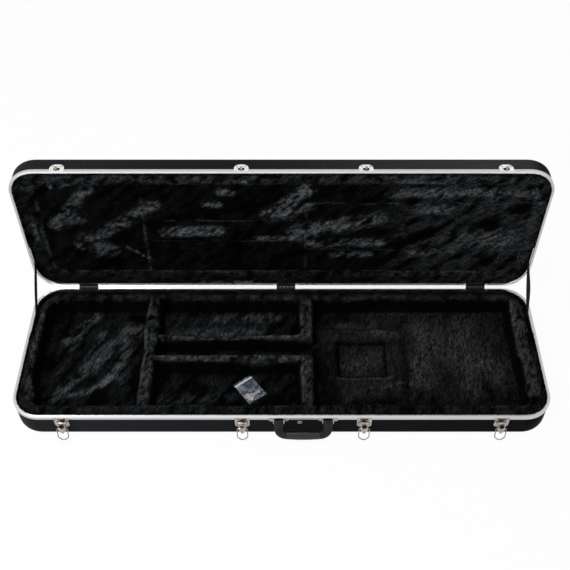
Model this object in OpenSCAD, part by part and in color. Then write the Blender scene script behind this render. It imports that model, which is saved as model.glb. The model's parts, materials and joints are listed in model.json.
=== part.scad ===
// Oblong hard case for an electric guitar or bass: two moulded shells with aluminium
// valances, plush padding, draw latches, a carrying handle and stay straps.
// X runs along the case, Y runs from the handle side to the hinges, Z is up.
// The origin is the middle of the base's underside and the lid stands open.

/* [Case] */
// Outer length over the valance
case_w = 1230; // [1150:5:1350]
// Outer depth over the valance
case_d = 386; // [370:2:420]
// Height of the base from the floor to its rim
base_h = 74; // [70:1:86]
// Height of the lid from its rim to its top
lid_h = 53; // [48:1:66]
// Radius of the case corners seen from above
corner_r = 65; // [58:1:72]
// Radius of the moulded edge round the floor and round the top
edge_r = 18; // [10:1:20]
// Thickness of the moulded shells
wall = 3; // [2:0.5:4]
// Angle at which the straps hold the lid open
lid_open = 90; // [80:1:95]
// Height of the raised panel moulded in the lid's top
panel_h = 2; // [1:0.5:3]
// Distance from the case outline to the raised panel
panel_inset = 46; // [36:1:50]

/* [Valance] */
// Width of the valance from its outer face to its inner face
valance_w = 8; // [7:0.5:10]
// Height of the valance on its outer face
valance_h = 7.5; // [6.5:0.5:10]
// Thickness of the web between the mating face and the shell's edge
valance_web = 3.4; // [3:0.2:4]
// Thickness of the leg outside the shell
valance_leg = 1.4; // [1:0.1:2]
// Width of the sealing lip on the base valance
lip_w = 1.8; // [1.2:0.2:2]
// Height of the sealing lip over the rim
lip_h = 1.4; // [0.8:0.2:1.6]

/* [Base padding] */
// Thickness of the padded floor
floor_pad_t = 9; // [6:1:14]
// Width of the padded border inside the valance
border_w = 23; // [20:1:28]
// Depth of the border's crown under the rim
border_drop = 5; // [4:1:8]
// Radius of the crown on the borders, dividers and panels
crown_r = 8; // [4:1:8]
// Thickness of the extra pad at the body end
end_pad_t = 17; // [8:1:24]
// Distance from the head end of the case to the wall between head and neck
head_len = 296; // [275:1:315]
// Distance from the body end of the case to the wall between neck and body
body_len = 555; // [535:1:575]
// Thickness of both cross walls
divider_t = 34; // [24:1:40]
// Depth of the cross walls' crown under the rim
divider_drop = 7; // [5:1:12]
// Middle of the neck channel
neck_y = 17; // [5:1:25]
// Width of the neck channel
neck_w = 48; // [44:1:60]
// Thickness of the rail behind the neck
rail_rear_t = 13; // [12:1:20]
// Thickness of the rail in front of the neck
rail_front_t = 18; // [12:1:24]
// Depth of the rails' crown under the rim
rail_drop = 9; // [6:1:14]
// Length of the platform under the neck joint
heel_w = 225; // [200:5:250]
// Depth of the platform from front to back
heel_d = 214; // [180:2:230]
// Middle of the platform from front to back
heel_y = -11; // [-20:1:0]
// Height of the platform over the floor pad
heel_h = 24; // [20:1:30]
// Length of the recess in the platform
recess_w = 118; // [90:1:130]
// Depth of the recess from front to back
recess_d = 100; // [90:1:110]
// Middle of the recess from front to back
recess_y = -6; // [-20:1:0]
// Depth of the recess under the platform's top
recess_h = 18; // [8:1:19]
// Corner radius of the platform and of its recess
heel_r = 14; // [10:1:18]

/* [Lid padding] */
// Depth of the panels under the lid's rim
lid_recess = 13; // [8:1:18]
// Depth of the border's crown under the lid's rim
lid_border_drop = 6; // [4:1:10]
// Width of the padded border inside the valance
lid_border_w = 37; // [32:1:42]
// Width of the seams between the panels
seam_w = 3; // [2:0.5:5]
// Distance from the head end of the case to the seam between head and neck
lid_head_len = 292; // [275:1:315]
// Distance from the body end of the case to the seam between neck and body
lid_body_len = 555; // [535:1:575]
// Seam in front of the neck strip
strip_front_y = -26; // [-40:1:-15]
// Seam behind the neck strip
strip_rear_y = 42; // [30:1:55]
// Corner radius of the panels
panel_r = 12; // [9:1:16]

/* [Hinges] */
// Distance from the ends of the case to the outer hinges
hinge_inset = 127; // [115:1:175]
// Place of the middle hinge along the case
hinge_mid_x = 10; // [-20:1:30]
// Length of one hinge
hinge_w = 47; // [38:1:50]
// Distance from the valance's outer face to the hinge axis
hinge_off = 2.6; // [2.4:0.1:3.2]
// Radius of the hinge knuckles
knuckle_r = 3.2; // [2.8:0.1:3.4]
// Radius of the hinge pins
hinge_pin_r = 1.5; // [1.2:0.1:1.7]
// Thickness of the leaf on the mating face
leaf_t = 2; // [1.6:0.1:2.2]
// Height of the leaf on the shell's wall
leaf_h = 25; // [22:1:30]
// Distance between the two rivets of a leaf
leaf_rivet_gap = 26; // [22:1:28]

/* [Latches] */
// Distance from the ends of the case to the outer latches
latch_inset = 118; // [105:1:145]
// Distance from the handle's middle to the inner latches
latch_spread = 138; // [125:1:160]
// Width of the latch plate
plate_w = 33; // [32:1:36]
// Height of the latch plate
plate_h = 36; // [34:1:38]
// Corner radius at the foot of the latch plate
plate_r = 11; // [8:1:12]
// Thickness of the plates on the valance
plate_t = 1.3; // [1:0.1:1.6]
// Gap from the rim down to the top of the plates
plate_drop = 0.6; // [0.4:0.1:1]
// Depth of the lever's pivot under the rim
pivot_drop = 12; // [11:0.5:13]
// Distance from the valance's outer face to the lever's pivot
pivot_out = 6.5; // [6:0.1:7.5]
// Thickness of the ears on both sides of the lever
ear_t = 1.2; // [1:0.1:1.6]
// Angle at which the open lever and bail stand out
latch_lean = 14; // [8:1:16]
// Angle at which the closed lever stands out
closed_lean = 2; // [1:0.5:3]
// Width of the lever
lever_w = 16.4; // [15.8:0.2:16.6]
// Length of the lever from its pivot to its tip
lever_len = 33; // [31:1:36]
// Height of the lever's pointed end
lever_tip_h = 10; // [7:1:12]
// Thickness of the lever
lever_t = 1.6; // [1.2:0.1:2]
// Radius of the barrels round the lever's two pins
barrel_r = 2.4; // [2:0.1:2.6]
// Radius of the lever's pivot pin
lever_pin_r = 1; // [0.8:0.1:1.2]
// Distance from the lever's pivot to the key boss
boss_drop = 8.8; // [8.4:0.1:9]
// Radius of the round key boss
boss_r = 6.6; // [6.2:0.1:6.8]
// Height of the key boss over the lever
boss_h = 2.2; // [1.5:0.1:3]
// Radius of the lock plug
plug_r = 4.8; // [4:0.1:5.2]
// Width of the keyway in the lock plug
keyway_w = 1.4; // [1:0.1:2]
// Height of the keyway in the lock plug
keyway_h = 6; // [4:0.5:7]
// Distance from the lever's pivot to the bail's pivot
bail_arm = 17; // [16.6:0.1:17.6]
// Length of the bail from its pivot to its end
bail_len = 34; // [33.5:0.5:36]
// Distance between the middles of the bail's legs
bail_w = 23.6; // [23.4:0.1:24.4]
// Radius of the bail's wire
wire_r = 1.2; // [0.9:0.1:1.3]
// Difference of radius between the runs that meet at a bend of the wire
wire_step = 0.1; // [0.05:0.05:0.2]
// Height of the bail's tapered end
bail_v = 8; // [6:0.5:10]
// Width of the flat at the bail's end
bail_flat = 7; // [6:0.5:9]

/* [Catches] */
// Width of the catch
catch_w = 32.6; // [30:0.2:36]
// Height of the catch over the lid's rim
catch_h = 22; // [20:1:24]
// Height of the catch's lower edge over the lid's rim
catch_drop = 0.3; // [0.2:0.1:0.6]
// Radius of the catch's arched corners
catch_r = 13; // [10:1:14]
// Width of the hook that the bail pulls on
hook_w = 5.4; // [4:0.2:6]
// Thickness of the hook's lip
hook_t = 1.2; // [1:0.1:1.6]
// Height of the window over the hook
window_h = 8; // [6:0.5:9]
// Width of the window over the hook
window_w = 14; // [12:0.5:15]

/* [Handle] */
// Middle of the handle along the case
handle_x = 49; // [30:1:60]
// Distance between the middles of the handle's arms
handle_span = 111; // [105:1:120]
// Width of one arm
arm_w = 21.5; // [18:0.5:22]
// Thickness of the arms
arm_t = 9; // [8:0.5:10]
// Distance from the handle's pivot to the far side of the grip
handle_reach = 49; // [46:1:54]
// Height of the bar inside the grip
bar_h = 18; // [14:1:20]
// Radius of the handle's outer corners
handle_r = 22; // [16:1:24]
// Radius of the handle's inner corners
handle_in_r = 6; // [4:1:8]
// Gap from the grip sleeve to the handle's inner corners
grip_end_gap = 1; // [0.5:0.5:4]
// Thickness of the grip sleeve round the bar
grip_t = 3; // [2:0.5:4]
// Radius of the grip's long edges
grip_r = 6.5; // [5:0.5:7]
// Angle at which the hanging handle stands out
handle_lean = 17; // [10:1:22]
// Depth of the handle's pivot under the rim
handle_drop = 8; // [7.5:0.5:9]
// Radius of the handle's pivot pins
handle_pin_r = 1.5; // [1.2:0.1:2]
// Width of the brackets
bracket_w = 44; // [43:1:48]
// Height of the brackets
bracket_h = 12; // [11:1:14]
// Thickness of the ears on both sides of an arm
bracket_ear_t = 1.5; // [1.2:0.1:2]
// Place of the bumper stud along the case
stud_x = 41; // [30:1:60]
// Depth of the bumper stud under the rim
stud_drop = 21; // [18:1:26]
// Radius of the bumper stud
stud_r = 5.6; // [4:0.1:6]

/* [Rivets] */
// Radius of a rivet's head
head_r = 2.6; // [2:0.1:2.8]
// Height of a rivet's head
head_h = 1.2; // [0.8:0.1:1.5]
// Radius of a rivet's shank
shank_r = 1.4; // [1:0.1:1.6]
// Distance from a rivet's head to the edge of its plate
rivet_margin = 1.4; // [1:0.1:2]

/* [Straps] */
// Distance from the hinge axis to the strap anchors
strap_reach = 86; // [78:1:100]
// Width of the webbing
strap_w = 18; // [14:1:20]
// Thickness of the webbing
strap_t = 1.4; // [1:0.1:1.8]
// Radius of the washers that hold the webbing
washer_r = 3.5; // [3:0.1:3.6]
// Thickness of the washers
washer_t = 1; // [0.8:0.1:1.4]

/* [Keys] */
// Middle of the key bag along the case
bag_x = -76; // [-90:1:-60]
// Middle of the key bag from front to back
bag_y = -76; // [-90:1:-70]
// Width of the key bag
bag_w = 50; // [44:1:60]
// Length of the key bag
bag_l = 68; // [60:1:76]
// Thickness of the bag with the keys in it
bag_t = 4; // [3.6:0.2:5]
// Thickness of the bag's film
film_t = 0.4; // [0.2:0.1:0.5]
// Turn of the bag on the floor
bag_turn = 37; // [20:1:60]
// Length of a key
key_len = 34; // [28:1:38]
// Thickness of a key
key_t = 2; // [1.6:0.1:2.4]
// Radius of a key's bow
bow_r = 7; // [6:0.5:8]
// Width of a key's blade
blade_w = 5; // [4:0.5:6]
// Radius of the eye in a key's bow
eye_r = 2; // [1.5:0.5:3]

/* [Clearances] */
// Gap between the two rims of the closed case
rim_gap = 0.4; // [0.3:0.1:0.8]
// Gap on each side of the shell in the valance's slot
slot_gap = 0.1; // [0.05:0.05:0.2]
// Gap round the sealing lip
lip_gap = 0.5; // [0.4:0.1:0.6]
// Gap between the knuckles along and round the hinge axis
knuckle_gap = 0.4; // [0.3:0.1:0.5]
// Radial gap of a turning pin in its bore
pin_gap = 0.05; // [0.02:0.01:0.08]
// Gap between moving hardware and its neighbours
move_gap = 0.5; // [0.4:0.1:0.6]
// Gap between soft pieces that lie side by side
soft_gap = 0.5; // [0.3:0.1:1]
// Gap behind the borders, where the straps go in
strap_gap = 5; // [4.5:0.5:6]
// Gap between the webbing and the valance
webbing_gap = 0.6; // [0.4:0.1:1]

/* [Hidden] */
$fn = 64;
dome_fn = 160;
tiny = 0.01;
over = 1;

// Offsets from the case outline inwards
shell_off = valance_leg + slot_gap;
inner_off = shell_off + wall;
slot_off = inner_off + slot_gap;
border_off = valance_w + strap_gap;
border_in = valance_w + border_w;
lid_border_in = valance_w + lid_border_w;

// Heights in the base
rim = base_h;
shell_h = base_h - valance_web;
floor_z = wall + floor_pad_t;
border_top = rim - border_drop;
divider_top = rim - divider_drop;
rail_top = rim - rail_drop;

// Heights in the closed lid
lid_rim = rim + rim_gap;
lid_shell_h = lid_h - valance_web;
panel_top = lid_rim + lid_h - wall;

// Where the moulded edge of a shell runs out into its flat
inner_edge_r = edge_r - wall;
flat_off = inner_off + inner_edge_r + soft_gap;

// Middles of the cross walls and of the seams
head_divider_x = head_len - case_w / 2;
body_divider_x = case_w / 2 - body_len;
head_seam_x = lid_head_len - case_w / 2;
body_seam_x = case_w / 2 - lid_body_len;

// Faces of the padding in the base
pocket_w = case_w - 2 * border_in;
pocket_d = case_d - 2 * border_in;
pad_y = pocket_d / 2 - soft_gap;
end_pad_x = pocket_w / 2 - soft_gap - end_pad_t;
end_pad_y = case_d / 2 - corner_r;
rail_rear_y = neck_y + neck_w / 2;
rail_front_y = neck_y - neck_w / 2;
rail_x0 = head_divider_x + divider_t / 2 + soft_gap;
rail_x1 = body_divider_x - divider_t / 2 - soft_gap;
heel_x0 = body_divider_x + divider_t / 2 + soft_gap;
recess_x = heel_x0 + heel_w / 2;

// Faces of the padding in the lid
panel_x = case_w / 2 - lid_border_in - seam_w;
panel_y = case_d / 2 - lid_border_in - seam_w;
half_seam = seam_w / 2;

// Places along the case
latch_end_x = case_w / 2 - latch_inset;
hinge_end_x = case_w / 2 - hinge_inset;
latch_xs = [
    -latch_end_x,
    handle_x - latch_spread,
    handle_x + latch_spread,
    latch_end_x
];
hinge_xs = [-hinge_end_x, hinge_mid_x, hinge_end_x];
locked_latch = 2;

// Hinge axis and the leaves' knuckles
axis_y = case_d / 2 + hinge_off;
axis_z = rim + rim_gap / 2;
knuckles = 5;
knuckle_w = hinge_w / knuckles;

// Length of the rivets under their heads, and their places
plate_grip = plate_t + inner_off;
leaf_grip = inner_off;
leaf_rivet_drop = leaf_h - head_r - 2 * rivet_margin;
plate_rivets = [
    [plate_w / 2 - head_r - rivet_margin, -plate_drop - head_r - rivet_margin],
    [plate_w / 2 - plate_r + rivet_margin, head_r + rivet_margin - plate_h]
];
catch_rivet_off = (catch_r - head_r - rivet_margin) * sin(45);
catch_rivet_x = catch_w / 2 - catch_r + catch_rivet_off;
catch_rivet_z = catch_h - catch_r + catch_rivet_off;
bracket_rivet_x = bracket_w / 2 - head_r - rivet_margin;

// Latch parts
ear_in = lever_w / 2 + move_gap;
bail_top_z = bail_len - pivot_drop - bail_arm * cos(closed_lean) - rim_gap;
hook_z1 = bail_top_z - wire_r - move_gap;
hook_y = pivot_out + bail_arm * sin(closed_lean) + wire_r + move_gap;

// Handle parts
bracket_r = bracket_h / 3;
bracket_ear_in = arm_w / 2 + move_gap;
handle_out = plate_t + arm_t / 2 + move_gap;
grip_w = handle_span - arm_w - 2 * (handle_in_r + grip_end_gap);

// Strap anchors, seen from the hinge axis
anchor_drop = valance_h / 2 + rim_gap / 2;
strap_x = case_w / 2 - valance_w - strap_t - webbing_gap;
anchor_base = [axis_y - strap_reach, axis_z - anchor_drop];
anchor_lid = [
    axis_y - strap_reach * cos(lid_open) + anchor_drop * sin(lid_open),
    axis_z + strap_reach * sin(lid_open) + anchor_drop * cos(lid_open)
];
strap_span = norm(anchor_lid - anchor_base);
strap_angle = atan2(
    anchor_lid[1] - anchor_base[1],
    anchor_lid[0] - anchor_base[0]
);

module rounded_rect(w, d, r) {
    square([w - 2 * r, d], center = true);
    square([w, d - 2 * r], center = true);
    for (x = [-1, 1], y = [-1, 1])
        translate([x * (w / 2 - r), y * (d / 2 - r)])
            circle(r);
}

// Outline of the case, moved inwards
module plan(off) {
    rounded_rect(case_w - 2 * off, case_d - 2 * off, corner_r - off);
}

// Closed band between two offsets of the outline
module band(outer, inner, z0, z1) {
    translate([0, 0, z0])
        linear_extrude(z1 - z0)
            difference() {
                plan(outer);
                plan(inner);
            }
}

// Upright section from the middle to an outer wall, with its lower corner rounded
module half_section(reach, h, r) {
    square([reach - r, h]);
    translate([0, r])
        square([reach, h - r]);
    intersection() {
        translate([reach - r, r])
            circle(r);
        translate([reach - r, 0])
            square(r);
    }
}

module full_section(reach, h, r) {
    half_section(reach, h, r);
    mirror([1, 0])
        half_section(reach, h, r);
}

// Block with upright corners of radius plan_r and a lower edge of radius r, on z = 0
module round_block(w, d, h, plan_r, r) {
    rotate([90, 0, 90])
        translate([0, 0, plan_r - w / 2])
            linear_extrude(w - 2 * plan_r)
                full_section(d / 2, h, r);
    rotate([90, 0, 0])
        translate([0, 0, plan_r - d / 2])
            linear_extrude(d - 2 * plan_r)
                full_section(w / 2, h, r);
    for (turn = [0:3]) {
        x = (turn == 0 || turn == 3) ? 1 : -1;
        y = turn < 2 ? 1 : -1;
        translate([x * (w / 2 - plan_r), y * (d / 2 - plan_r), 0])
            rotate([0, 0, 90 * turn])
                rotate_extrude(angle = 90)
                    half_section(plan_r, h, r);
    }
}

// Moulded tub that opens upwards, with its outer walls on the shell's offset
module tub(h) {
    difference() {
        round_block(
            case_w - 2 * shell_off, case_d - 2 * shell_off, h,
            corner_r - shell_off, edge_r
        );
        translate([0, 0, wall])
            round_block(
                case_w - 2 * inner_off, case_d - 2 * inner_off, h,
                corner_r - inner_off, inner_edge_r
            );
    }
}

// Rectangle from x0 to x1 and from z0 up to z1, with a crowned upper end
module crowned(x0, x1, z0, z1) {
    r = min(crown_r, (x1 - x0) / 2 - tiny);
    translate([x0, z0])
        square([x1 - x0, z1 - z0 - r]);
    translate([x0 + r, z0])
        square([x1 - x0 - 2 * r, z1 - z0]);
    for (x = [x0 + r, x1 - r])
        translate([x, z1 - r])
            circle(r);
}

// Section of a border strip, with its lower outer corner cut off by skew
module strip_section(x0, x1, z0, z1, skew) {
    crowned(x0, x1, z0 + skew, z1);
    if (skew > 0)
        polygon([
            [x0, z0],
            [x1 - skew, z0],
            [x1, z0 + skew + tiny],
            [x0, z0 + skew + tiny]
        ]);
}

// Padded border along the outline: four straight strips and four corner pieces
module padded_border(outer, inner, z0, z1, skew) {
    run_x = case_w - 2 * (corner_r + soft_gap);
    run_y = case_d - 2 * (corner_r + soft_gap);
    for (side = [0, 180])
        rotate([0, 0, side]) {
            rotate([90, 0, 90])
                translate([0, 0, -run_x / 2])
                    linear_extrude(run_x)
                        strip_section(case_d / 2 - inner, case_d / 2 - outer, z0, z1, skew);
            rotate([90, 0, 0])
                translate([0, 0, -run_y / 2])
                    linear_extrude(run_y)
                        strip_section(case_w / 2 - inner, case_w / 2 - outer, z0, z1, skew);
            for (turn = [0, 1])
                mirror([turn, 0, 0])
                    translate([case_w / 2 - corner_r, case_d / 2 - corner_r, 0])
                        rotate_extrude(angle = 90)
                            strip_section(corner_r - inner, corner_r - outer, z0, z1, skew);
        }
}

// Padded wall that runs along Y with a crowned top
module wall_along_y(x0, x1, y0, y1, top) {
    translate([0, y1, 0])
        rotate([90, 0, 0])
            linear_extrude(y1 - y0)
                crowned(x0, x1, floor_z, top);
}

// Padded wall that runs along X with a crowned top
module wall_along_x(x0, x1, y0, y1, top) {
    translate([x0, 0, 0])
        rotate([90, 0, 90])
            linear_extrude(x1 - x0)
                crowned(y0, y1, floor_z, top);
}

// Pieces of the lid are drawn closed and turned open about the hinge axis
module open_lid() {
    translate([0, axis_y, axis_z])
        rotate([-lid_open, 0, 0])
            translate([0, -axis_y, -axis_z])
                children();
}

// Front wall of the base, seen from its rim: z down the wall is negative, outwards is -y
module on_base_front(x) {
    translate([x, -case_d / 2, rim])
        children();
}

// Front wall of the closed lid, seen from its rim: z up the wall is positive
module on_lid_front(x) {
    translate([x, -case_d / 2, lid_rim])
        children();
}

// Plate of a drawn outline on a front wall, from depth y0 out to depth y1
module upright(y0, y1) {
    translate([0, -y0, 0])
        rotate([90, 0, 0])
            linear_extrude(y1 - y0)
                children();
}

module rod_x(r, x0, x1) {
    translate([x0, 0, 0])
        rotate([0, 90, 0])
            cylinder(r = r, h = x1 - x0);
}

// Wire through points of the XY plane: its runs overlap at the bends
module bent_wire(points) {
    last = len(points) - 1;
    for (k = [0:last - 1]) {
        span = points[k + 1] - points[k];
        start = k == 0 ? 0 : -wire_r / 2;
        end = k == last - 1 ? 0 : wire_r / 2;
        translate(points[k])
            rotate([0, 0, atan2(span[1], span[0])])
                rod_x(wire_r - (k % 2) * wire_step, start, norm(span) + end);
    }
}

// Rivet along Y with its domed head outside y = 0 and its shank in the wall behind
module rivet(depth, r = head_r) {
    dome = (r * r + head_h * head_h) / (2 * head_h);
    intersection() {
        translate([0, dome - head_h, 0])
            sphere(dome, $fn = dome_fn);
        rotate([90, 0, 0])
            cylinder(r = r + over, h = head_h + over);
    }
    rivet_shank(depth, shank_r);
}

module rivet_shank(depth, r) {
    rotate([-90, 0, 0])
        cylinder(r = r, h = depth);
}

module latch_rivet_places(x) {
    on_base_front(x)
        for (p = plate_rivets, side = [-1, 1])
            translate([side * p[0], -plate_t, p[1]])
                children();
}

module catch_rivet_places(x) {
    on_lid_front(x)
        for (side = [-1, 1])
            translate([side * catch_rivet_x, -plate_t, catch_rivet_z])
                children();
}

module bracket_rivet_places() {
    for (side = [-1, 1], wing = [-1, 1])
        on_base_front(handle_x + side * handle_span / 2)
            translate([wing * bracket_rivet_x, -plate_t, -valance_h / 2])
                children();
}

// Rivets of the base leaves, on the rear wall and facing backwards
module leaf_rivet_places(level) {
    for (x = hinge_xs, side = [-1, 1])
        translate([x + side * leaf_rivet_gap / 2, case_d / 2, level])
            rotate([0, 0, 180])
                children();
}

module stud_place() {
    on_base_front(stud_x)
        translate([0, shell_off, -stud_drop])
            children();
}

// Bores for the rivets of the latch plates and brackets
module front_bores() {
    for (x = latch_xs)
        latch_rivet_places(x)
            rivet_shank(plate_grip + over, shank_r + pin_gap);
    bracket_rivet_places()
        rivet_shank(plate_grip + over, shank_r + pin_gap);
}

module base_shell() {
    color("#17181a")
        difference() {
            tub(shell_h);
            front_bores();
            leaf_rivet_places(rim - leaf_rivet_drop)
                rivet_shank(leaf_grip + over, shank_r + pin_gap);
            stud_place()
                rivet_shank(wall + over, shank_r + pin_gap);
        }
}

// Cut for a hinge leaf in a valance whose mating face is at z = 0 and points up
module leaf_notch() {
    for (x = hinge_xs)
        translate([x - hinge_w / 2 - slot_gap, 0, 0]) {
            translate([0, case_d / 2 - valance_w - over, -leaf_t])
                cube([hinge_w + 2 * slot_gap, valance_w + 2 * over, leaf_t + lip_h + over]);
            translate([0, case_d / 2 - shell_off, -valance_h - over])
                cube([hinge_w + 2 * slot_gap, shell_off + over, valance_h + 2 * over]);
        }
}

// Aluminium section with a slot for the shell's edge, mating face up at z = 0
module valance_section() {
    band(0, valance_leg, -valance_h, -valance_web / 2);
    band(slot_off, valance_w, -valance_h, -valance_web / 2);
    band(0, valance_w, -valance_web, 0);
}

module base_valance() {
    color("#d9dadc")
        difference() {
            translate([0, 0, rim])
                difference() {
                    union() {
                        valance_section();
                        band(
                            valance_w - lip_gap - lip_w, valance_w - lip_gap,
                            -valance_web / 2, lip_h
                        );
                    }
                    leaf_notch();
                }
            front_bores();
        }
}

module base_floor_pad() {
    color("#0d0e0f")
        translate([0, 0, wall])
            linear_extrude(floor_pad_t)
                plan(flat_off);
}

module base_border() {
    color("#0d0e0f")
        padded_border(border_off, border_in, floor_z, border_top, 0);
}

module body_end_pad() {
    color("#0d0e0f")
        wall_along_y(
            end_pad_x, end_pad_x + end_pad_t, -end_pad_y, end_pad_y, border_top
        );
}

module head_divider() {
    color("#0d0e0f")
        wall_along_y(
            head_divider_x - divider_t / 2, head_divider_x + divider_t / 2,
            -pad_y, pad_y, divider_top
        );
}

module neck_rail_rear() {
    color("#0d0e0f")
        wall_along_x(rail_x0, rail_x1, rail_rear_y, rail_rear_y + rail_rear_t, rail_top);
}

module neck_rail_front() {
    color("#0d0e0f")
        wall_along_x(rail_x0, rail_x1, rail_front_y - rail_front_t, rail_front_y, rail_top);
}

module body_divider(y0, y1) {
    wall_along_y(
        body_divider_x - divider_t / 2, body_divider_x + divider_t / 2,
        y0, y1, divider_top
    );
}

module body_divider_rear() {
    color("#0d0e0f")
        body_divider(rail_rear_y, pad_y);
}

module body_divider_front() {
    color("#0d0e0f")
        body_divider(-pad_y, rail_front_y);
}

module heel_platform() {
    color("#0d0e0f")
        translate([recess_x, heel_y, floor_z])
            difference() {
                translate([0, 0, heel_h])
                    mirror([0, 0, 1])
                        round_block(heel_w, heel_d, heel_h, heel_r, crown_r);
                translate([0, recess_y - heel_y, heel_h - recess_h])
                    linear_extrude(recess_h + over)
                        rounded_rect(recess_w, recess_d, heel_r);
            }
}

module lid_shell() {
    color("#17181a")
        open_lid()
            difference() {
                union() {
                    translate([0, 0, lid_rim + lid_h])
                        mirror([0, 0, 1])
                            tub(lid_shell_h);
                    translate([0, 0, lid_rim + lid_h - tiny])
                        linear_extrude(panel_h + tiny)
                            plan(panel_inset);
                }
                for (x = latch_xs)
                    catch_rivet_places(x)
                        rivet_shank(plate_grip + over, shank_r + pin_gap);
                leaf_rivet_places(lid_rim + leaf_rivet_drop)
                    rivet_shank(leaf_grip + over, shank_r + pin_gap);
            }
}

module lid_valance() {
    color("#d9dadc")
        open_lid()
            translate([0, 0, lid_rim])
                mirror([0, 0, 1])
                    difference() {
                        valance_section();
                        band(
                            valance_w - 2 * lip_gap - lip_w, valance_w + over,
                            -lip_h - lip_gap, over
                        );
                        leaf_notch();
                    }
}

// Border that stands on the flat of the lid and leans out over the moulded edge
module lid_border() {
    color("#0d0e0f")
        open_lid()
            translate([0, 0, lid_rim])
                mirror([0, 0, 1])
                    padded_border(
                        border_off, lid_border_in, wall - lid_h, -lid_border_drop,
                        flat_off - border_off
                    );
}

// Padded panel of the closed lid between two corners, face down
module lid_panel(x0, x1, y0, y1) {
    translate([(x0 + x1) / 2, (y0 + y1) / 2, lid_rim + lid_recess])
        round_block(x1 - x0, y1 - y0, panel_top - lid_rim - lid_recess, panel_r, crown_r);
}

module lid_head_panel() {
    color("#0d0e0f")
        open_lid()
            lid_panel(-panel_x, head_seam_x - half_seam, -panel_y, panel_y);
}

module lid_neck_panels() {
    x0 = head_seam_x + half_seam;
    x1 = body_seam_x - half_seam;
    color("#0d0e0f")
        open_lid() {
            lid_panel(x0, x1, -panel_y, strip_front_y - half_seam);
            lid_panel(x0, x1, strip_front_y + half_seam, strip_rear_y - half_seam);
            lid_panel(x0, x1, strip_rear_y + half_seam, panel_y);
        }
}

module lid_body_panel() {
    color("#0d0e0f")
        open_lid()
            lid_panel(body_seam_x + half_seam, panel_x, -panel_y, panel_y);
}

// Leaf of hinge i with its mating face up at z = 0 and the axis half the rim gap above
module hinge_leaf(i, first) {
    translate([hinge_xs[i - 1] - hinge_w / 2, 0, 0])
        difference() {
            union() {
                translate([0, case_d / 2 - valance_w, -leaf_t])
                    cube([hinge_w, valance_w + hinge_off, leaf_t]);
                translate([0, case_d / 2 - valance_leg, -leaf_h])
                    cube([hinge_w, valance_leg, leaf_h]);
                for (k = [first:2:knuckles - 1])
                    knuckle(k, knuckle_r, 0);
            }
            for (k = [1 - first:2:knuckles - 1])
                knuckle(k, knuckle_r + knuckle_gap, knuckle_gap / 2);
            translate([0, axis_y, rim_gap / 2])
                rod_x(hinge_pin_r + pin_gap, -over, hinge_w + over);
            for (side = [-1, 1])
                translate([hinge_w / 2 + side * leaf_rivet_gap / 2, case_d / 2, -leaf_rivet_drop])
                    rotate([0, 0, 180])
                        translate([0, -over, 0])
                            rivet_shank(leaf_grip + over, shank_r + pin_gap);
        }
}

// Knuckle k along the axis, made longer at its inner ends by grow
module knuckle(k, r, grow) {
    x0 = k == 0 ? 0 : k * knuckle_w - grow;
    x1 = k == knuckles - 1 ? hinge_w : (k + 1) * knuckle_w + grow;
    translate([0, axis_y, rim_gap / 2])
        rod_x(r, x0, x1);
}

module hinge_leaf_base(i) {
    color("#1b1c1e")
        translate([0, 0, rim])
            hinge_leaf(i, 0);
}

module hinge_leaf_lid(i) {
    color("#1b1c1e")
        open_lid()
            translate([0, 0, lid_rim])
                mirror([0, 0, 1])
                    hinge_leaf(i, 1);
}

module hinge_pins() {
    color("#1b1c1e")
        for (x = hinge_xs)
            translate([x, axis_y, axis_z])
                rod_x(hinge_pin_r, -hinge_w / 2, hinge_w / 2);
}

module hinge_rivets_base() {
    color("#1b1c1e")
        leaf_rivet_places(rim - leaf_rivet_drop)
            rivet(leaf_grip);
}

module hinge_rivets_lid() {
    color("#1b1c1e")
        open_lid()
            leaf_rivet_places(lid_rim + leaf_rivet_drop)
                rivet(leaf_grip);
}

// Outline with a flat top at y = -drop and two rounded lower corners
module shield(w, h, r, drop) {
    translate([-w / 2, r - h])
        square([w, h - r - drop]);
    translate([r - w / 2, -h])
        square([w - 2 * r, h - drop]);
    for (x = [-1, 1])
        intersection() {
            translate([x * (w / 2 - r), r - h])
                circle(r);
            translate([-w / 2, -h])
                square([w, r]);
        }
}

module below_valance() {
    intersection() {
        children();
        translate([-case_w, -case_d - valance_h])
            square([2 * case_w, case_d]);
    }
}

// Plate that lies on the valance and steps back to the shell under it
module stepped_plate() {
    upright(0, plate_t)
        children();
    upright(-shell_off, tiny)
        below_valance()
            children();
}

// Ear that carries a pin along X at depth out and height z
module ear(x0, x1, r, out, z) {
    translate([x0, -out, z - r])
        cube([x1 - x0, out - plate_t / 2, 2 * r]);
    translate([0, -out, z])
        rod_x(r, x0, x1);
}

module latch_plate(i) {
    x = latch_xs[i - 1];
    color("#c9c6c0")
        difference() {
            on_base_front(x)
                difference() {
                    union() {
                        stepped_plate()
                            shield(plate_w, plate_h, plate_r, plate_drop);
                        for (side = [0, 1])
                            mirror([side, 0, 0])
                                ear(ear_in, ear_in + ear_t, barrel_r, pivot_out, -pivot_drop);
                    }
                    upright(-shell_off - over, plate_t + over)
                        translate([0, -pivot_drop - boss_drop])
                            circle(boss_r);
                    translate([0, -pivot_out, -pivot_drop])
                        rod_x(lever_pin_r + pin_gap, -plate_w, plate_w);
                }
            latch_rivet_places(x)
                translate([0, -over, 0])
                    rivet_shank(plate_grip, shank_r + pin_gap);
        }
}

module latch_rivets() {
    color("#c9c6c0")
        for (x = latch_xs)
            latch_rivet_places(x)
                rivet(plate_grip);
}

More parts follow.
